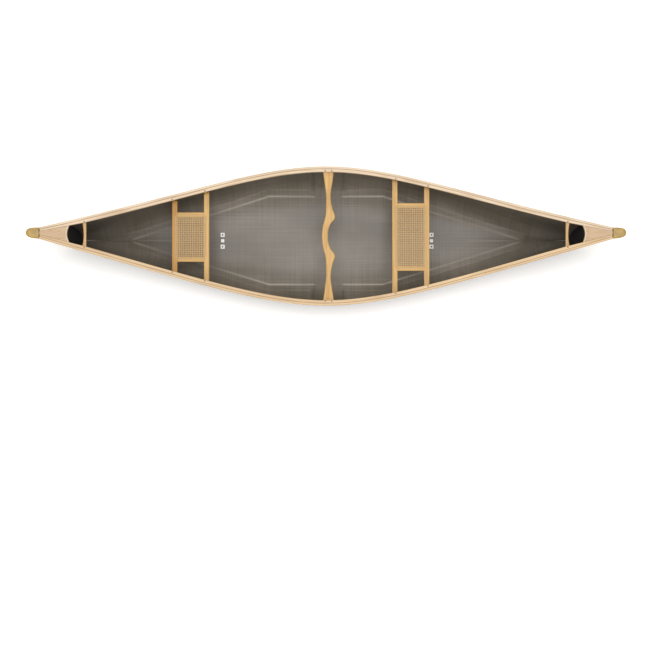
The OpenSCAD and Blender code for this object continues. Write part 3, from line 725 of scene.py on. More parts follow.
def inwale_ring(u, sizes):
    w = rail_width(u * TIP, sizes.inwale, INWALE_TIP)
    h, up = inward(u), Vector((0, 0, 1))
    a, b, o = on_shell(u, 0, SHELL), on_shell(u, RAIL_HEIGHT - RAIL_PROUD, SHELL), on_shell(u, 0, 0)
    corners = [
        a + h * RAIL_GAP + up * RAIL_GAP, b + h * RAIL_GAP, b + h * (RAIL_GAP + w),
        a + h * (RAIL_GAP + w) + up * RAIL_PROUD, o + up * RAIL_PROUD, o + up * RAIL_GAP,
    ]
    inner = blend(sizes.rail_round, 0.0008, taper(u * TIP, DECK_EDGE - 0.01, DECK_EDGE + 0.02))
    return soft_ring(corners, (0.0003, 0.0008, 0.0025, inner, 0.0011, 0.0003))


def outwale_ring(u, sizes):
    w = rail_width(u * TIP, sizes.outwale, OUTWALE_TIP)
    h, up = inward(u), Vector((0, 0, 1))
    a, b = on_shell(u, 0, 0), on_shell(u, RAIL_HEIGHT - RAIL_PROUD, 0)
    corners = [
        b - h * RAIL_GAP, a - h * RAIL_GAP + up * RAIL_PROUD,
        a - h * (RAIL_GAP + w) + up * RAIL_PROUD, b - h * (RAIL_GAP + w),
    ]
    return soft_ring(corners, (0.0008, 0.0011, sizes.rail_round * 1.3, sizes.rail_round))


def build_rail(node, side, ring, seed, material):
    """A rail along one side, with its grain running along it."""
    sizes = bpy.context.scene.canoe_sizes
    rings, grain = [], []
    for u in span(-HOLLOW, HOLLOW, 201):
        u = min(HOLLOW - 0.001, max(0.001 - HOLLOW, u))
        points = ring(u, sizes)
        o, h = on_shell(u, 0, 0), inward(u)
        grain += [Vector((p.x + seed, (p - o).dot(h), p.z - o.z)) for p in points]
        rings.append(points if side > 0 else [mirrored(p) for p in points])
    grain += [grain[0], grain[-1]]
    joint_and_painted_light = [abs(place.y) for place in grain]
    solid = loft(rings)
    return add_piece(node.capitalize(), solid, [node], material, grain, sharp=50, joint_and_painted_light=joint_and_painted_light)


# ---- Ends ----

DECK_THICKNESS = 0.018
DECK_PLAY = 0.0002
FOAM_GAP, FOAM_DROP = 0.0022, 0.045
THWART_AT = 1.706
THWART_WIDTH, THWART_WAIST, THWART_DEPTH = 0.031, 0.019, 0.019


def deck_half(x, drop):
    """Half the deck's breadth between the inwales, a drop below their tops."""
    u = x / TIP
    lean = on_shell(u, 1, 0).y - on_shell(u, 0, 0).y
    rail = rail_width(x, INWALE, INWALE_TIP)
    half = hull_point(u, 1).y - across(x, SHELL) - across(x, rail + 2 * RAIL_GAP)
    return half + lean * max(0.0, drop - RAIL_PROUD) - DECK_PLAY


def build_deck(name, node, end, seed):
    """A deck between the inwales, with a curved and bevelled inner edge."""
    sizes = bpy.context.scene.canoe_sizes
    start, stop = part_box("bow_deck")[0].x, HOLLOW_END - 3 * RAIL_GAP
    lengths = [0, 0.01, 0.022, 0.036, 0.05, 0.064, 0.078] + span(0.1, 1, 19)
    widths = [-1, -0.985, -0.97] + span(-0.92, 0.92, 25) + [0.97, 0.985, 1]
    skins = []
    for drop in (DECK_THICKNESS, 0):
        skin = []
        for s in lengths:
            row = []
            for t in widths:
                edge = start + sizes.deck_curve * (1 - t * t)
                x = blend(edge, stop, s)
                z = rail_top(x) - drop
                if drop == 0:
                    z -= 0.0055 * max(0.0, 1 - (x - edge) / sizes.deck_bevel) ** 1.6
                    z -= 0.0008 * clamp((abs(t) - 0.97) / 0.03) ** 2
                row.append(Vector((end * x, t * deck_half(x, drop), z)))
            skin.append(row)
        skins.append(skin)
    points, faces = slab(*skins)
    grain = [Vector((p.x + seed, p.y + seed * 0.1, p.z)) for p in points]
    joint_and_painted_light = [deck_half(abs(p.x), 0) - abs(p.y) for p in points]
    upper, across_count = (len(lengths) - 1) * (len(widths) - 1), len(widths) - 1
    # The bevelled inner edge gets a paler finish, a painted highlight
    materials = [finish_named("Deck ash"), finish_named("Pale edge")]

    def pick(i):
        return int(upper <= i < upper + 3 * across_count)

    return add_piece(name, (points, faces), [node], materials, grain, pick, 40, joint_and_painted_light)


def build_end_cap(name, node, end):
    """A cap of fibre and resin over the stem, rounded in plan and along its edges."""
    low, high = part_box("bow_end_cap")
    start, stop = HOLLOW_END + TIP * 0.0015 + RAIL_GAP, high.x
    base = high.y
    lean = low.x - start
    rings = []
    for i in range(27):
        t = math.sin(math.pi / 2 * i / 26.5)
        x = blend(start, stop, t)
        w = base * (1 - t**2.6) ** (1 / 2.6)
        fall = 0.009 * (1 - math.sqrt(1 - max(0.0, (t - 0.55) / 0.45) ** 2))
        top = rail_top(min(x, TIP)) - fall
        foot = top - RAIL_HEIGHT + 1.6 * fall
        soft = min(0.011, 0.75 * w)
        corners = [
            Vector((x + lean, -w, foot)), Vector((x, -w, top)),
            Vector((x, w, top)), Vector((x + lean, w, foot)),
        ]
        ring = soft_ring(corners, (soft * 0.5, soft, soft, soft * 0.5), 5)
        rings.append([Vector((end * p.x, p.y, p.z)) for p in ring])
    return add_piece(name, loft(rings), [node], finish_named("Fibre and resin"), sharp=60)


def build_float_block(name, node, end):
    """A foam block glued into the end, with rounded faces and a fillet to the shell."""
    low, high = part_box("bow_float_block")
    steps = [0, 0.004, 0.012, 0.025] + span(0.05, 0.95, 10) + [0.975, 0.99, 1]
    rings = []
    for s in steps:
        x = blend(low.x, high.x, s)
        u = x / TIP
        edge = min(s, 1 - s) * (high.x - low.x)
        shrink = 0.004 * (1 - clamp(edge / 0.006)) ** 2
        depth = SHELL + FOAM_GAP + shrink
        seam = row_at(x, 0.0, depth)
        top = row_below(u, FOAM_DROP + shrink)
        half = []
        for k in range(19):
            v = blend(seam + 0.03, top, (k / 18) ** 1.3)
            p = inside_point(x / stem_x(v), v, depth)
            half.append(Vector((end * x, p.y if k else 0, p.z)))
        rings.append(half + [mirrored(p) for p in reversed(half[1:])])
    return add_piece(name, loft(rings), [node], finish_named("Sealed foam"), sharp=50)


def build_carry_thwart(name, node, end, seed):
    """A slim shaped thwart below the rails: straight on the inboard edge, hollowed on the other."""
    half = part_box("bow_carry_thwart")[1].y
    slope = sheer_slope(THWART_AT)
    along = Vector((math.cos(slope), 0, math.sin(slope)))
    up = Vector((-math.sin(slope), 0, math.cos(slope)))
    top = Vector((THWART_AT, 0, rail_top(THWART_AT))) - up * (RAIL_HEIGHT + 0.0016)
    narrow = half - THWART_WIDTH * math.tan(side_angle(THWART_AT))
    rings, grain = [], []
    for t in span(-1, 1, 49):
        near, far = -THWART_WIDTH / 2, blend(THWART_WAIST, THWART_WIDTH, t * t) - THWART_WIDTH / 2
        soft = blend(0.0075, 0.003, abs(t) ** 6)
        corners = [
            top + along * reach - up * deep + Vector((0, out * t, 0))
            for reach, out, deep in (
                (near, half, 0), (far, narrow, 0), (far, narrow, THWART_DEPTH), (near, half, THWART_DEPTH)
            )
        ]
        ring = soft_ring(corners, [soft] * 4)
        grain += [Vector((p.y + seed, (p - top).dot(along), (p - top).dot(up))) for p in ring]
        rings.append([Vector((end * p.x, p.y, p.z)) for p in ring])
    grain += [grain[0], grain[-1]]
    return add_piece(name, loft(rings), [node], finish_named("Thwart wood"), grain, sharp=50)


# ---- Yoke ----

# Millimetres across the boat and forward of the yoke's middle, along its back and its front
YOKE_BACK = [(0, -48), (80, -40), (149, -22), (205, -18), (300, -18), (400, -30), (462, -37), (477, -37)]
YOKE_FRONT = [
    (0, -4), (36, -2), (88, 15), (136, 48), (203, 29),
    (265, 18), (320, 18), (400, 30), (462, 37), (477, 37),
]


def edge_curve(knots, y):
    """The smooth curve through the knots, in metres."""
    k = max(i for i in range(len(knots) - 1) if knots[i][0] / 1000 <= y or i == 0)
    (ya, a), (yb, b) = knots[k], knots[k + 1]
    before, after = knots[max(k - 1, 0)][1], knots[min(k + 2, len(knots) - 1)][1]
    t = clamp((y * 1000 - ya) / (yb - ya))
    c1, c2 = b - before, 2 * before - 5 * a + 4 * b - after
    return (2 * a + c1 * t + c2 * t * t + (3 * a - before - 3 * b + after) * t**3) / 2000


def yoke_solid(sizes):
    """The carved yoke: rounded edges, a neck hollow and two shallow dishes for the shoulders."""
    low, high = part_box("yoke")
    middle = low.x - YOKE_BACK[0][1] / 1000
    rings, grain = [], []
    for y in span(-high.y, high.y, 181):
        a = abs(y)
        back, front = edge_curve(YOKE_BACK, a), edge_curve(YOKE_FRONT, a)
        dish = sizes.yoke_dish * ease((a - 0.045) / 0.06) * ease((0.235 - a) / 0.07)
        soft = min(0.36 * (front - back), blend(0.0085, 0.0035, ease((a - 0.40) / 0.05)))
        lift = 0.004 * ease((a - 0.02) / 0.08) * ease((0.30 - a) / 0.08)
        top_back, top_front = high.z - dish * 0.5, high.z - dish
        corners = [
            Vector((middle + back, y, top_back)), Vector((middle + front, y, top_front)),
            Vector((middle + front, y, low.z + lift)), Vector((middle + back, y, low.z + lift * 0.5)),
        ]
        ring = soft_ring(corners, [soft] * 4, 6)
        grain += [Vector((p.y + 3.1, p.x * 0.9 + p.z * 0.3, p.z)) for p in ring]
        rings.append(ring)
    grain += [grain[0], grain[-1]]
    return loft(rings), grain


# ---- Stiffening ----


CORE_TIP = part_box("bottom_core")[1].x
RIB_LOW, RIB_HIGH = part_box("side_rib_port")
RIB_MIDDLE, RIB_HALF = (RIB_LOW.x + RIB_HIGH.x) / 2, (RIB_HIGH.x - RIB_LOW.x) / 2


def beside_rib(x):
    """1 where the ribs meet the core, 0 elsewhere."""
    return ease((RIB_HALF - abs(x - RIB_MIDDLE)) / 0.01)


def core_half(x, sizes):
    return sizes.core_width / 2 * (1 - taper(x, sizes.core_shoulder, CORE_TIP)) + 0.012


def core_solid(sizes):
    """Core under cloth: a bevel round the core, and the edge of the cloth some way outside it."""
    reach = CORE_TIP + 0.02
    xs = sorted(set(span(-reach, reach, 151) + [-sizes.core_shoulder, sizes.core_shoulder]))
    cloth, bevel = sizes.cloth_margin, sizes.core_bevel
    inner = [0, 0.15, 0.3, 0.45, 0.6, 0.72, 0.82, 0.9, 0.96]

    def offsets(x):
        half = core_half(x, sizes)
        ends = [half - bevel - 0.004] + [half - bevel * s for s in (1, 0.75, 0.5, 0.25, 0)]
        ends += [half + 0.006, half + cloth - 0.008, half + cloth - 0.002, half + cloth]
        core = max(0.002, ends[0])
        low_end = [max(core + 0.0004 * (i + 1), e) for i, e in enumerate(ends)]
        return [core * s for s in inner] + [core] + low_end

    def tall(x, y):
        half = core_half(x, sizes)
        ends = clamp((CORE_TIP - abs(x)) / bevel)
        rise_up = max(ease((half - abs(y)) / bevel), 0.8 * beside_rib(x)) * ease(ends)
        skin = sizes.cloth_thickness * clamp((half + cloth - abs(y)) / 0.0015)
        return 0.0002 + skin + sizes.core_thickness * rise_up

    # Painted highlight: a pale line where the cloth bends over the core's bevel, and a fainter one at the
    # cloth's edge
    def ridge(x, y):
        half = core_half(x, sizes)
        bend = clamp(1.35 - abs(y - half + bevel / 2) / (bevel * 0.55))
        lap = clamp(1 - abs(y - half - cloth + 0.001) / 0.004) * 0.4
        fading = 1 - 0.5 * taper(x, sizes.core_shoulder, CORE_TIP)
        return max(bend, lap) * fading * (1 - beside_rib(x)) * clamp((CORE_TIP - abs(x)) / 0.02)

    lower, upper, grain_low, grain_up, painted_light_marks = [], [], [], [], []
    for x in xs:
        under, over = [], []
        # The painted highlight of each point, added to the cloth's tone
        half_row = [ridge(x, y) for y in offsets(x)]
        painted_light_marks += half_row[:0:-1] + half_row
        for y in offsets(x):
            v = row_at(x, y, SHELL)
            u = x / stem_x(v)
            n = hull_normal(u, v)
            p = hull_point(u, v) + n * (SHELL - 0.0008)
            if y == 0:
                p.y, n = 0, Vector((n.x, 0, n.z)).normalized()
            under.append(p)
            over.append(p + n * (tall(x, y) + 0.0008))
        lower.append(both_sides(under))
        upper.append(both_sides(over))
        grain_low += [Vector((x, g, 0)) for g in girths(lower[-1])]
        grain_up += [Vector((x, g, 0)) for g in girths(upper[-1])]
    return slab(lower, upper), grain_low + grain_up, painted_light_marks * 2


def rib_solid(side, sizes):
    """A band of core and cloth that climbs the side below the yoke."""
    middle, half = RIB_MIDDLE, RIB_HALF
    first = row_at(middle, core_half(middle, sizes) - 0.01, SHELL)
    top = bisect(lambda v: hull_point(middle / TIP, v).z < RIB_HIGH.z, 0.5, 1.0)
    cloth, bevel, rows = 0.02, 0.014, 37
    offsets = [half + cloth, half + cloth - 0.002] + [half - bevel * s for s in (0, 0.4, 0.7, 1)]
    xs = [middle - o for o in offsets] + span(middle - half + 0.03, middle + half - 0.03, 9)
    xs += [middle + o for o in reversed(offsets)]
    lower, upper, painted_light_marks = [], [], []
    for x in xs:
        under, over = [], []
        # Painted shade: the cloth is darkened along the rib's bevelled edges
        edge = -0.45 * clamp(1 - abs(abs(x - middle) - half + bevel * 0.4) / bevel)
        painted_light_marks += [edge] * rows
        for v in span(first, top, rows):
            u = x / stem_x(v)
            n = hull_normal(u, v)
            inset = half - abs(x - middle)
            end = ease((top - v) * 14) * ease((v - first) * 20 + 0.2)
            skin = 0.0007 * clamp((inset + cloth) / 0.0015)
            tall = 0.0009 + skin + sizes.rib_thickness * ease(inset / bevel) * end
            p = hull_point(u, v) + n * (SHELL - 0.0008)
            for row, q in ((under, p), (over, p + n * tall)):
                row.append(q if side > 0 else mirrored(q))
        lower.append(under)
        upper.append(over)
    points, faces = slab(lower, upper)
    grain = [Vector((p.x, side * (p.y * side + p.z), 0)) for p in points]
    return (points, faces), grain, painted_light_marks * 2


# ---- Seats ----

CANE_CORNER = 0.019
SPLINE_WIDTH, SPLINE_CORNER = 0.005, 0.024


def bar(start, stop, width, height, soft, grain_seed, ends):
    """A straight rounded rail between two points of its middle line, with grain along it."""
    up = Vector((0, 0, 1))
    line = (stop - start).normalized()
    side = up.cross(line)
    length = (stop - start).length
    first = [s * ends / length for s in (0.3, 0.7, 1)]
    places = [0] + first + span(0.05, 0.95, 9) + [1 - s for s in reversed(first)] + [1]
    rings, grain = [], []
    for t in places:
        from_end = min(t, 1 - t) * length
        shrink = ends * (1 - math.sqrt(max(0.0, 1 - (1 - clamp(from_end / ends)) ** 2)))
        w, h = width / 2 - shrink, height / 2 - shrink
        p = start + line * (length * t)
        out, over = side * w, up * h
        ring = soft_ring([p - out - over, p + out - over, p + out + over, p - out + over], [soft] * 4)
        for q in ring:
            along, beside = (q - start).dot(line) + grain_seed, (q - p).dot(side) + grain_seed * 0.1
            grain.append(Vector((along, beside, (q - p).z)))
        rings.append(ring)
    return loft(rings), grain + [grain[0], grain[-1]]


def build_seat_rail(node, seed, lengthways, material):
    """A rail of a seat's frame, along the boat or across it."""
    low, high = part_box(node)
    middle, half = (low + high) / 2, (high - low) / 2
    reach, width, ends = ((half.x, 0, 0), half.y, 0.0006) if lengthways else ((0, half.y, 0), half.x, 0.003)
    start, stop = middle - Vector(reach), middle + Vector(reach)
    solid, grain = bar(start, stop, 2 * width, 2 * half.z, 0.0035, seed, ends)
    return add_piece(node.capitalize(), solid, [node], material, grain, sharp=50)


def strand(path, width, thickness):
    """A flat cane strand along a path, slightly rounded on top."""
    rings = []
    for i, p in enumerate(path):
        ahead = path[min(i + 1, len(path) - 1)] - path[max(i - 1, 0)]
        side = Vector((-ahead.y, ahead.x, 0)).normalized() * (width / 2)
        up = Vector((0, 0, thickness))
        rings.append([p - side, p + side, p + side * 0.55 + up, p - side * 0.55 + up])
    return loft(rings)


def cane_strands(centre, half_x, half_y, sizes, frame_half):
    """Woven cane in the standard pattern: pairs each way and single diagonals, woven over and under."""
    pitch, pair, corner = sizes.cane_pitch, sizes.cane_pair / 2, CANE_CORNER
    inner_x, inner_y = frame_half
    solids, grain = [], []

    def inside(x, y):
        dx, dy = abs(x) - (half_x - corner), abs(y) - (half_y - corner)
        return math.hypot(max(dx, 0), max(dy, 0)) <= corner and max(dx, dy) <= corner

    def sag(x, y):
        sx, sy = clamp(1 - (x / inner_x) ** 2), clamp(1 - (y / inner_y) ** 2)
        return sizes.cane_sag * (sx * sy) ** 0.8

    def lay(number, way, x, y, dx, dy, height, width=sizes.strand_width):
        """One strand through a point, along a direction, as far as the panel reaches."""
        reach = math.hypot(half_x, half_y) * 1.1
        step = pitch / 6 * (1 if dx * dy == 0 else math.sqrt(2))
        count = int(reach / step)
        turns = range(-count, count + 1)
        places = [i * step for i in turns if inside(x + dx * i * step, y + dy * i * step)]
        if len(places) < 4:
            return
        path = []
        for s in places:
            px, py = x + dx * s, y + dy * s
            path.append(Vector((centre.x + px, centre.y + py, centre.z + height(px, py) - sag(px, py))))
        solids.append(strand(path, width, sizes.strand_thickness))
        for p in solids[-1][0]:
            along, side = {0: (p.x, p.y), 1: (p.y, p.x), 3: (p.x - p.y, p.x + p.y)}[way]
            grain.append(Vector((along, side, number * 0.137 + way)))

    columns, rows = int(half_x / pitch) + 1, int(half_y / pitch) + 1
    turn = 2 * math.pi / pitch
    for k in range(-rows, rows + 1):
        for s in (-1, 1):
            lay(k * 2 + s, 0, 0, k * pitch + s * pair, 1, 0,
                lambda px, py: 0.00065 + 0.00035 * s * math.cos(turn * px))
    for k in range(-columns, columns + 1):
        for s in (-1, 1):
            lay(k * 2 + s, 1, k * pitch + s * pair, 0, 0, 1,
                lambda px, py: 0.00065 - 0.0001 * math.cos(turn * py))
    root = math.sqrt(0.5)
    for k in range(-rows - columns, rows + columns + 1):
        for lean in (-1, 1):
            wave = 0.00022 * lean
            lay(k, 2 + lean, 0, (k + 0.5) * pitch, root, root * lean,
                lambda px, py: 0.00085 + 0.0002 * lean + wave * math.cos(turn * px),
                sizes.strand_width * 1.05)
    return join(*solids), grain


def build_cane(node, front_rail, side_rail):
    """The woven panel of a seat, which sags between the rails of its frame."""
    sizes = bpy.context.scene.canoe_sizes
    low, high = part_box(node)
    centre = Vector(((low.x + high.x) / 2, 0, low.z))
    frame_half = (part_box(front_rail)[0].x - centre.x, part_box(side_rail)[0].y)
    solid, grain = cane_strands(centre, (high.x - low.x) / 2, high.y, sizes, frame_half)
    return add_piece(node.capitalize(), solid, [node], finish_named("Cane"), grain, sharp=40)


def build_spline(node):
    """The cane spline, wedged in its groove: a rounded strip round the panel."""
    low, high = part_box(node)
    centre = (low + high) / 2
    half_x, half_y = (high.x - low.x) / 2, high.y
    section = (
        (0, low.z), (0, high.z - 0.0012), (0.0012, high.z - 0.0002), (0.0025, high.z),
        (0.0038, high.z - 0.0002), (SPLINE_WIDTH, high.z - 0.0012), (SPLINE_WIDTH, low.z),
    )
    rings, grain, run = [], [], 0.0
    previous = None
    for k, (sx, sy) in enumerate(((1, 1), (-1, 1), (-1, -1), (1, -1))):
        middle = Vector((centre.x + sx * (half_x - SPLINE_CORNER), sy * (half_y - SPLINE_CORNER), 0))
        for i in range(13):
            a = math.pi / 2 * (k + i / 12)
            out = Vector((math.cos(a), math.sin(a), 0))
            foot = middle + out * SPLINE_CORNER
            if previous is not None:
                run += (foot - previous).length
            previous = foot
            rings.append([foot - out * d + Vector((0, 0, z)) for d, z in section])
            grain += [Vector((run, d + 2, z)) for d, z in section]
    solid = loft(rings, True)
    return add_piece(node.capitalize(), solid, [node], finish_named("Cane"), grain, sharp=50)


# ---- Pads and fasteners ----


def square_ring(x, y, z, half, soft):
    corners = [Vector((x + sx * half, y + sy * half, z)) for sx, sy in ((-1, -1), (1, -1), (1, 1), (-1, 1))]
    return soft_ring(corners, [soft] * 4, 5)


def pad_solid(x, y, z, half, height, recess):
    """A moulded pad with a drafted skirt, soft edges and a shallow square recess."""
    profile = [(1.0, 0.0), (0.99, 0.6), (0.965, 0.86), (0.93, 0.96), (0.88, 1.0)]
    if recess:
        profile += [(0.66, 1.0), (0.62, 0.97), (0.6, 0.84), (0.56, 0.82), (0.25, 0.82)]
    else:
        profile += [(0.5, 1.03), (0.25, 1.04)]
    rings = [square_ring(x, y, z + height * up, half * share, half * share * 0.28) for share, up in profile]
    return loft(rings)


def build_pads(name, node, studs_name, studs_node):
    """A pad on each side with a stud through it, and a smaller one between them."""
    low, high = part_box(node)
    x = (low.x + high.x) / 2
    half = (high.x - low.x) / 2
    height = (high.z - low.z) * 0.97
    far = high.y - half
    solids = [pad_solid(x, y, low.z, half, height, True) for y in (far, -far)]
    solids.append(pad_solid(x, 0, low.z, half * 0.8, height * 0.95, False))
    add_piece(name, join(*solids), [node], finish_named("White plastic"), sharp=50)
    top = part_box(studs_node)[1].z - low.z
    profile = [
        (0.001, 0.001), (0.001, 0.003), (top - 0.0036, 0.003), (top - 0.0034, 0.006),
        (top - 0.0016, 0.006), (top - 0.0005, 0.0048), (top, 0.0026), (top - 0.0005, 0.0022),
        (top - 0.0014, 0.002), (top - 0.0014, 0.0006),
    ]
    studs = [lathe(profile, (x, y, low.z), sides=24) for y in (far, -far)]
    add_piece(studs_name, join(*studs), [studs_node], finish_named("Stainless steel"), sharp=40)


def bolt_profile(low, high):
    """An oval head with a socket in it, its shaft and a chamfered end, as heights above the foot."""
    length = high - low
    return [
        (0.0, 0.0012), (0.0, 0.0024), (0.0006, 0.003), (length - 0.003, 0.003),
        (length - 0.0022, 0.0055), (length + 0.0003, 0.0055), (length + 0.0009, 0.0047),
        (length + 0.0012, 0.0036), (length + 0.0011, 0.0026), (length - 0.001, 0.0024),
        (length - 0.001, 0.0006),
    ]


def islands(node):
    """The low and high corners of each separate solid of a CAD node."""
    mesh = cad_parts[node].data
    near = {}
    for vertex in mesh.vertices:
        near.setdefault(tuple(round(c, 5) for c in vertex.co), []).append(vertex.index)
    parent = list(range(len(mesh.vertices)))

    def root(i):
        while parent[i] != i:
            parent[i] = parent[parent[i]]
            i = parent[i]
        return i

    for group in near.values():
        for i in group[1:]:
            parent[root(i)] = root(group[0])
    for edge in mesh.edges:
        a, b = edge.vertices
        parent[root(a)] = root(b)
    groups = {}
    for vertex in mesh.vertices:
        groups.setdefault(root(vertex.index), []).append(vertex.co)
    found = []
    for members in groups.values():
        found.append(tuple(Vector([pick(p[k] for p in members) for k in range(3)]) for pick in (min, max)))
    return sorted(found, key=lambda pair: tuple(pair[0]))


def build_bolts(node, slope=0.0, name=None):
    """Bolts that stand in for a node's plain ones. They lean with the sheer where a slope is given."""
    solids = []
    for low, high in islands(node):
        x, y = (low.x + high.x) / 2, (low.y + high.y) / 2
        if slope:
            axis = Vector((-math.sin(slope), 0, math.cos(slope)))
            length = (high.z - low.z) / math.cos(slope)
            at = Vector((x, y, (low.z + high.z) / 2)) - axis * (length / 2)
            solids.append(lathe(bolt_profile(0, length - 0.0015), at, axis, 28))
        else:
            solids.append(lathe(bolt_profile(low.z, high.z), (x, y, low.z), sides=28))
    steel = finish_named("Stainless steel")
    return add_piece(name or node.capitalize(), join(*solids), [node], steel, sharp=40)


def build_screws(name, node, side):
    """Rail screws: cupped heads with a round recess, square to the rail."""
    sizes = bpy.context.scene.canoe_sizes
    profile = [
        (-0.02, 0.0006), (-0.018, 0.00175), (-0.003, 0.00175), (-0.0008, 0.0046), (0.0002, 0.0048),
        (0.0004, 0.0044), (0.0002, 0.0036), (0.0006, 0.0034), (0.0008, 0.002), (0.0007, 0.0014),
        (-0.0006, 0.0009), (-0.0006, 0.0003),
    ]
    xs = {round((low.x + high.x) / 2, 3) for low, high in islands(node) if high.y - low.y >= 0.001}
    heads = []
    for x in sorted(xs):
        u = x / TIP
        h = inward(u)
        w = rail_width(x, sizes.outwale, OUTWALE_TIP)
        face, axis = on_shell(u, (RAIL_HEIGHT / 2) - RAIL_PROUD, 0) - h * (RAIL_GAP + w), -h
        if side < 0:
            face, axis = mirrored(face), mirrored(axis)
        heads.append(lathe(profile, face, axis, 24))
    return add_piece(name, join(*heads), [node], finish_named("Dull brass"), sharp=40)


# ---- What a user may change ----


def length(name, description, default):
    return FloatProperty(
        name=name, description=description, default=default, subtype="DISTANCE", unit="LENGTH"
    )


def colour(name, description, default):
    return FloatVectorProperty(
        name=name, description=description, default=default, size=3, subtype="COLOR", min=0.0, max=1.0
    )


class CanoeSizes(bpy.types.PropertyGroup):
    """Sizes that the pieces are built from."""

    inwale: length("Inwale width", "Width of the rail inside the shell", INWALE)
    outwale: length("Outwale width", "Width of the rail outside the shell", 0.017)
    rail_round: length("Rail rounding", "How far the rails' free edges are rounded off", 0.0045)
    deck_curve: length("Deck curve", "Depth of the curve in each deck's inner edge", 0.014)
    deck_bevel: length("Deck bevel", "Width of the bevel along that edge", 0.009)
    yoke_dish: length("Yoke dish", "Depth of the shoulder dishes in the yoke", 0.005)
    core_width: length("Core width", "Width of the stiffened bottom", 0.656)
    core_shoulder: length("Core shoulder", "Where the core starts to narrow, from the middle", 0.43)
    core_thickness: length("Core thickness", "Thickness of the core", 0.005)
    core_bevel: length("Core bevel", "Width of the bevel round the core", 0.011)
    cloth_thickness: length("Cloth thickness", "Thickness of the cloth over the core", 0.0005)
    cloth_margin: length("Cloth margin", "How far the cloth over the core laps onto the shell", 0.042)
    rib_thickness: length("Rib thickness", "Thickness of the ribs beside the yoke", 0.004)
    cane_pitch: length("Cane pitch", "Spacing of the holes in the cane", 0.0132)
    cane_pair: length("Cane pair", "Distance between the two strands of a pair", 0.0028)
    strand_width: length("Strand width", "Width of a cane strand", 0.0019)
    strand_thickness: length("Strand thickness", "Thickness of a cane strand", 0.0005)
    cane_sag: length("Cane sag", "How far the panels hang at their middles", 0.003)


class CanoeColours(bpy.types.PropertyGroup):
    """Colours of the canoe's materials."""

    inside_light: colour("Inside, light", "The lighter tone of the cloth inside", (0.182, 0.16, 0.131))
    inside_dark: colour("Inside, dark", "The darker tone of the cloth inside", (0.105, 0.09, 0.066))
    outside_dark: colour("Outside, dark", "The cloth under the clear coat", (0.042, 0.027, 0.0195))
    # Partly the tows' own gold, partly painted glint
    outside_gold_and_painted_glint: colour("Outside, gold", "Gold glints in that cloth", (0.072, 0.044, 0.025))
    # The rails on both sides are one ash: the port colour is painted paler and greyer, the starboard colour
    # more golden, for how light falls on each side
    ash_white: colour("Ash, white", "Early wood of the port rails", (0.7, 0.56, 0.4))
    ash_pale: colour("Ash, pale", "Early wood of the starboard rails", (0.63, 0.455, 0.26))
    ash_deep: colour("Ash, deep", "Late wood and pores of the rails and decks", (0.43, 0.285, 0.15))
    deck_pale: colour("Decks, pale", "Early wood of the decks", (0.52, 0.365, 0.225))
    # The stern seat's rear rail is the same honey wood as the others, painted darker and more orange as
    # painted shade
    painted_shade_honey_pale: colour("Ochre wood, pale", "Early wood of the stern seat's rear rail", (0.5, 0.26, 0.06))
    painted_shade_honey_deep: colour("Ochre wood, deep", "Late wood of that rail", (0.34, 0.16, 0.03))
    # Painted highlight on the decks' bevelled edge
    deck_bevel_painted_highlight: colour("Deck edge", "The bevelled edge of the decks", (0.8, 0.68, 0.52))
    thwart_pale: colour("Thwart, pale", "Early wood of the carry thwarts", (0.56, 0.36, 0.16))
    thwart_deep: colour("Thwart, deep", "Late wood of the carry thwarts", (0.36, 0.2, 0.075))
    honey_pale: colour("Honey wood, pale", "Early wood of the yoke and seats", (0.6, 0.375, 0.125))
    honey_deep: colour("Honey wood, deep", "Late wood of the yoke and seats", (0.4, 0.215, 0.055))
    cane_light: colour("Cane, light", "Lighter strands", (0.6, 0.41, 0.18))
    cane_dark: colour("Cane, dark", "Darker strands", (0.44, 0.27, 0.1))
    cap_yellow: colour("Cap, yellow", "Fibres in the end caps", (0.4, 0.25, 0.045))
    cap_olive: colour("Cap, olive", "The olive cast of the end caps", (0.29, 0.195, 0.045))
    steel: colour("Steel", "Bolts, nuts and studs", (0.16, 0.13, 0.11))
    brass: colour("Brass", "Rail screws", (0.42, 0.3, 0.13))
    pads: colour("Pads", "Moulded floor pads", (0.93, 0.92, 0.9))
    foam: colour("Foam", "Foam blocks in the ends", (0.014, 0.014, 0.015))
    floor: colour("Floor", "The studio floor", (0.93, 0.93, 0.925))


# ---- Operators ----

SIDES = (("port", 1), ("starboard", -1))
ENDS = (("bow", 1), ("stern", -1))
FLOOR_HALF = 40.0
SKY_STRENGTH, FLOOR_GLOW = 0.68, 0.22
LENS, CAMERA_PLACE, FAR_CLIP = 46.5, (-0.007, -0.64, 6.4), 60
LAMP_AIM = Vector((0, 0, 0.2))

# Each lamp's name, place, length, width, power and colour
LAMPS = (
    ("Overhead", (0, 0.4, 7.2), 4.8, 2.4, 235, (1.0, 0.98, 0.98)),
    ("Far_side", (0, 5.5, 5.0), 8.0, 1.5, 90, (1.0, 0.87, 0.68)),
    ("Near_side", (0, -5.5, 5.0), 8.0, 1.5, 80, (1.0, 0.88, 0.7)),
)


class CANOE_OT_shell(bpy.types.Operator):
    """Build the laminated shell"""

    bl_idname = "canoe.shell"
    bl_label = "Shell"

    def execute(self, context):
        points, outside, inside, grain = hull_shell()
        materials = [finish_named("Outer laminate"), finish_named("Inner laminate")]

        def pick(i):
            return int(i >= len(outside))

        add_piece("Hull", (points, outside + inside), HULL_NODES, materials, grain, pick)
        return {"FINISHED"}


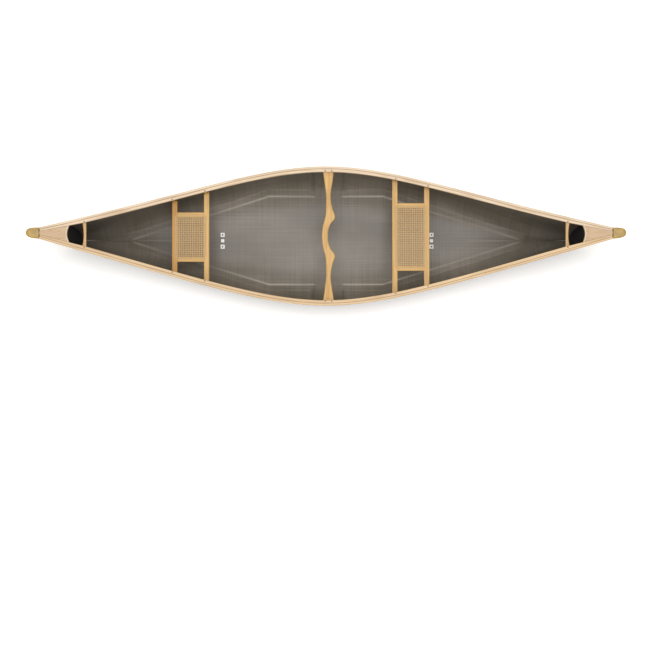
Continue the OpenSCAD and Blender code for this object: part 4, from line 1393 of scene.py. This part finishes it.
class CANOE_OT_stiffening(bpy.types.Operator):
    """Lay the core along the bottom and a rib up each side"""

    bl_idname = "canoe.stiffening"
    bl_label = "Core and ribs"

    def execute(self, context):
        sizes = context.scene.canoe_sizes
        lining = finish_named("Core cloth")
        made = {"bottom_core": core_solid(sizes)}
        for word, side in SIDES:
            made[f"side_rib_{word}"] = rib_solid(side, sizes)
        for node, (solid, grain, painted_light_marks) in made.items():
            name = node.capitalize()
            add_piece(name, solid, [node], lining, grain, sharp=60, joint_and_painted_light=painted_light_marks)
        return {"FINISHED"}


class CANOE_OT_rails(bpy.types.Operator):
    """Clamp the shell's edge between inwales and outwales, with their screws"""

    bl_idname = "canoe.rails"
    bl_label = "Rails"

    def execute(self, context):
        for k, (word, side) in enumerate(SIDES):
            # Each side's ash carries painted light for how light falls on that side
            ash = finish_named(f"{word.capitalize()} ash")
            build_rail(f"inwale_{word}", side, inwale_ring, 5.0 * k, ash)
            build_rail(f"outwale_{word}", side, outwale_ring, 5.0 * k + 11, ash)
            build_screws(f"Rail_screws_{word}", f"outwale_screws_{word}", side)
        return {"FINISHED"}


class CANOE_OT_ends(bpy.types.Operator):
    """Fit the decks, the end caps and the foam blocks"""

    bl_idname = "canoe.ends"
    bl_label = "Decks, caps and foam"

    def execute(self, context):
        for k, (word, end) in enumerate(ENDS):
            build_deck(f"Deck_{word}", f"{word}_deck", end, 2.0 + 3 * k)
            build_end_cap(f"End_cap_{word}", f"{word}_end_cap", end)
            build_float_block(f"Foam_block_{word}", f"{word}_float_block", end)
        return {"FINISHED"}


class CANOE_OT_thwarts(bpy.types.Operator):
    """Bolt the two carry thwarts and the yoke below the rails"""

    bl_idname = "canoe.thwarts"
    bl_label = "Thwarts and yoke"

    def execute(self, context):
        slope = sheer_slope(THWART_AT)
        for k, (word, end) in enumerate(ENDS):
            build_carry_thwart(f"Carry_thwart_{word}", f"{word}_carry_thwart", end, 7.0 + k)
            build_bolts(f"{word}_carry_bolts", end * slope, f"Carry_bolts_{word}")
        solid, grain = yoke_solid(context.scene.canoe_sizes)
        add_piece("Yoke", solid, ["yoke"], finish_named("Honey wood"), grain, sharp=50)
        build_bolts("yoke_bolts")
        return {"FINISHED"}


class CANOE_OT_seats(bpy.types.Operator):
    """Build both seats: frames, woven cane, splines and bolts"""

    bl_idname = "canoe.seats"
    bl_label = "Seats"

    def execute(self, context):
        honey, honey_in_painted_shade = finish_named("Honey wood"), finish_named("Ochre wood")
        for k, (word, _) in enumerate(ENDS):
            for j, part in enumerate(("front", "rear")):
                # The stern seat's rear rail takes the honey wood in painted shade
                stock = honey_in_painted_shade if (word, part) == ("stern", "rear") else honey
                build_seat_rail(f"{word}_seat_{part}_rail", 13.0 + k * 4 + j, False, stock)
            for j, part in enumerate(("port", "starboard")):
                build_seat_rail(f"{word}_seat_{part}_rail", 23.0 + k * 4 + j, True, honey)
            build_cane(f"{word}_seat_cane", f"{word}_seat_front_rail", f"{word}_seat_port_rail")
            build_spline(f"{word}_seat_spline")
            build_bolts(f"{word}_seat_bolts")
        return {"FINISHED"}


class CANOE_OT_pads(bpy.types.Operator):
    """Set the moulded pads on the floor ahead of each seat"""

    bl_idname = "canoe.pads"
    bl_label = "Floor pads"

    def execute(self, context):
        for word, _ in ENDS:
            build_pads(f"Floor_pads_{word}", f"{word}_floor_pads", f"Pad_studs_{word}", f"{word}_pad_studs")
        return {"FINISHED"}


class CANOE_OT_fittings(bpy.types.Operator):
    """Give the nuts and dowels their finishes"""

    bl_idname = "canoe.fittings"
    bl_label = "Nuts and dowels"

    def execute(self, context):
        for name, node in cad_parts.items():
            for ending, finish in (("_nuts", "Nut steel"), ("_dowels", "Dowel wood")):
                if name.endswith(ending):
                    node.data.materials.clear()
                    node.data.materials.append(finish_named(finish))
        return {"FINISHED"}


class CANOE_OT_stage(bpy.types.Operator):
    """Set up the floor, the lights and the camera"""

    bl_idname = "canoe.stage"
    bl_label = "Stage"

    def execute(self, context):
        scene = context.scene
        scene.view_settings.view_transform = "Standard"
        mesh = bpy.data.meshes.new("Floor")
        corners = [(x * FLOOR_HALF, y * FLOOR_HALF, 0) for x, y in ((-1, -1), (1, -1), (1, 1), (-1, 1))]
        mesh.from_pydata(corners, [], [(0, 1, 2, 3)])
        paper = Finish("Floor")
        spot = paper.node("ShaderNodeTexCoord", output="Object")
        cloud = paper.noise(spot, (0.7, 0.7, 0.7), 3, 0.5)
        mesh.materials.append(
            paper.surface(
                base_color=paper.tint(scene.canoe_colours.floor, 0.985 + cloud * 0.03), roughness=0.9,
                emission_color=(1, 1, 1, 1), emission_strength=FLOOR_GLOW,
            )
        )
        floor = bpy.data.objects.new("Floor", mesh)
        scene.collection.objects.link(floor)
        world = bpy.data.worlds.new("Studio")
        world.use_nodes = True
        sky = world.node_tree.nodes["Background"]
        sky.inputs["Color"].default_value = (1, 1, 1, 1)
        sky.inputs["Strength"].default_value = SKY_STRENGTH
        scene.world = world
        for name, place, size_x, size_y, power, tint in LAMPS:
            light = bpy.data.lights.new(name, "AREA")
            light.shape = "RECTANGLE"
            light.size, light.size_y, light.energy, light.color = size_x, size_y, power, tint
            lamp = bpy.data.objects.new(name, light)
            lamp.location = place
            lamp.rotation_euler = (LAMP_AIM - lamp.location).to_track_quat("-Z", "Y").to_euler()
            scene.collection.objects.link(lamp)
        camera = bpy.data.objects.new("Camera", bpy.data.cameras.new("Camera"))
        camera.data.lens = LENS
        camera.location = CAMERA_PLACE
        camera.data.clip_end = FAR_CLIP
        scene.collection.objects.link(camera)
        scene.camera = camera
        return {"FINISHED"}


OPERATORS = (
    CANOE_OT_stage, CANOE_OT_shell, CANOE_OT_stiffening, CANOE_OT_rails, CANOE_OT_ends,
    CANOE_OT_thwarts, CANOE_OT_seats, CANOE_OT_pads, CANOE_OT_fittings,
)


class CANOE_PT_panel(bpy.types.Panel):
    """Lists the canoe's operators and settings"""

    bl_label = "Canoe"
    bl_idname = "CANOE_PT_panel"
    bl_space_type = "VIEW_3D"
    bl_region_type = "UI"
    bl_category = "Canoe"

    def draw(self, context):
        for operator in OPERATORS:
            self.layout.operator(operator.bl_idname)
        for group in (context.scene.canoe_sizes, context.scene.canoe_colours):
            for name in group.__annotations__:
                self.layout.prop(group, name)


CLASSES = (CanoeSizes, CanoeColours, *OPERATORS, CANOE_PT_panel)


def register():
    for item in CLASSES:
        bpy.utils.register_class(item)
    bpy.types.Scene.canoe_sizes = PointerProperty(type=CanoeSizes)
    bpy.types.Scene.canoe_colours = PointerProperty(type=CanoeColours)


def unregister():
    del bpy.types.Scene.canoe_sizes
    del bpy.types.Scene.canoe_colours
    for item in reversed(CLASSES):
        bpy.utils.unregister_class(item)


def main():
    register()
    for operator in OPERATORS:
        group, name = operator.bl_idname.split(".")
        getattr(getattr(bpy.ops, group), name)()


if __name__ == "__main__":
    main()
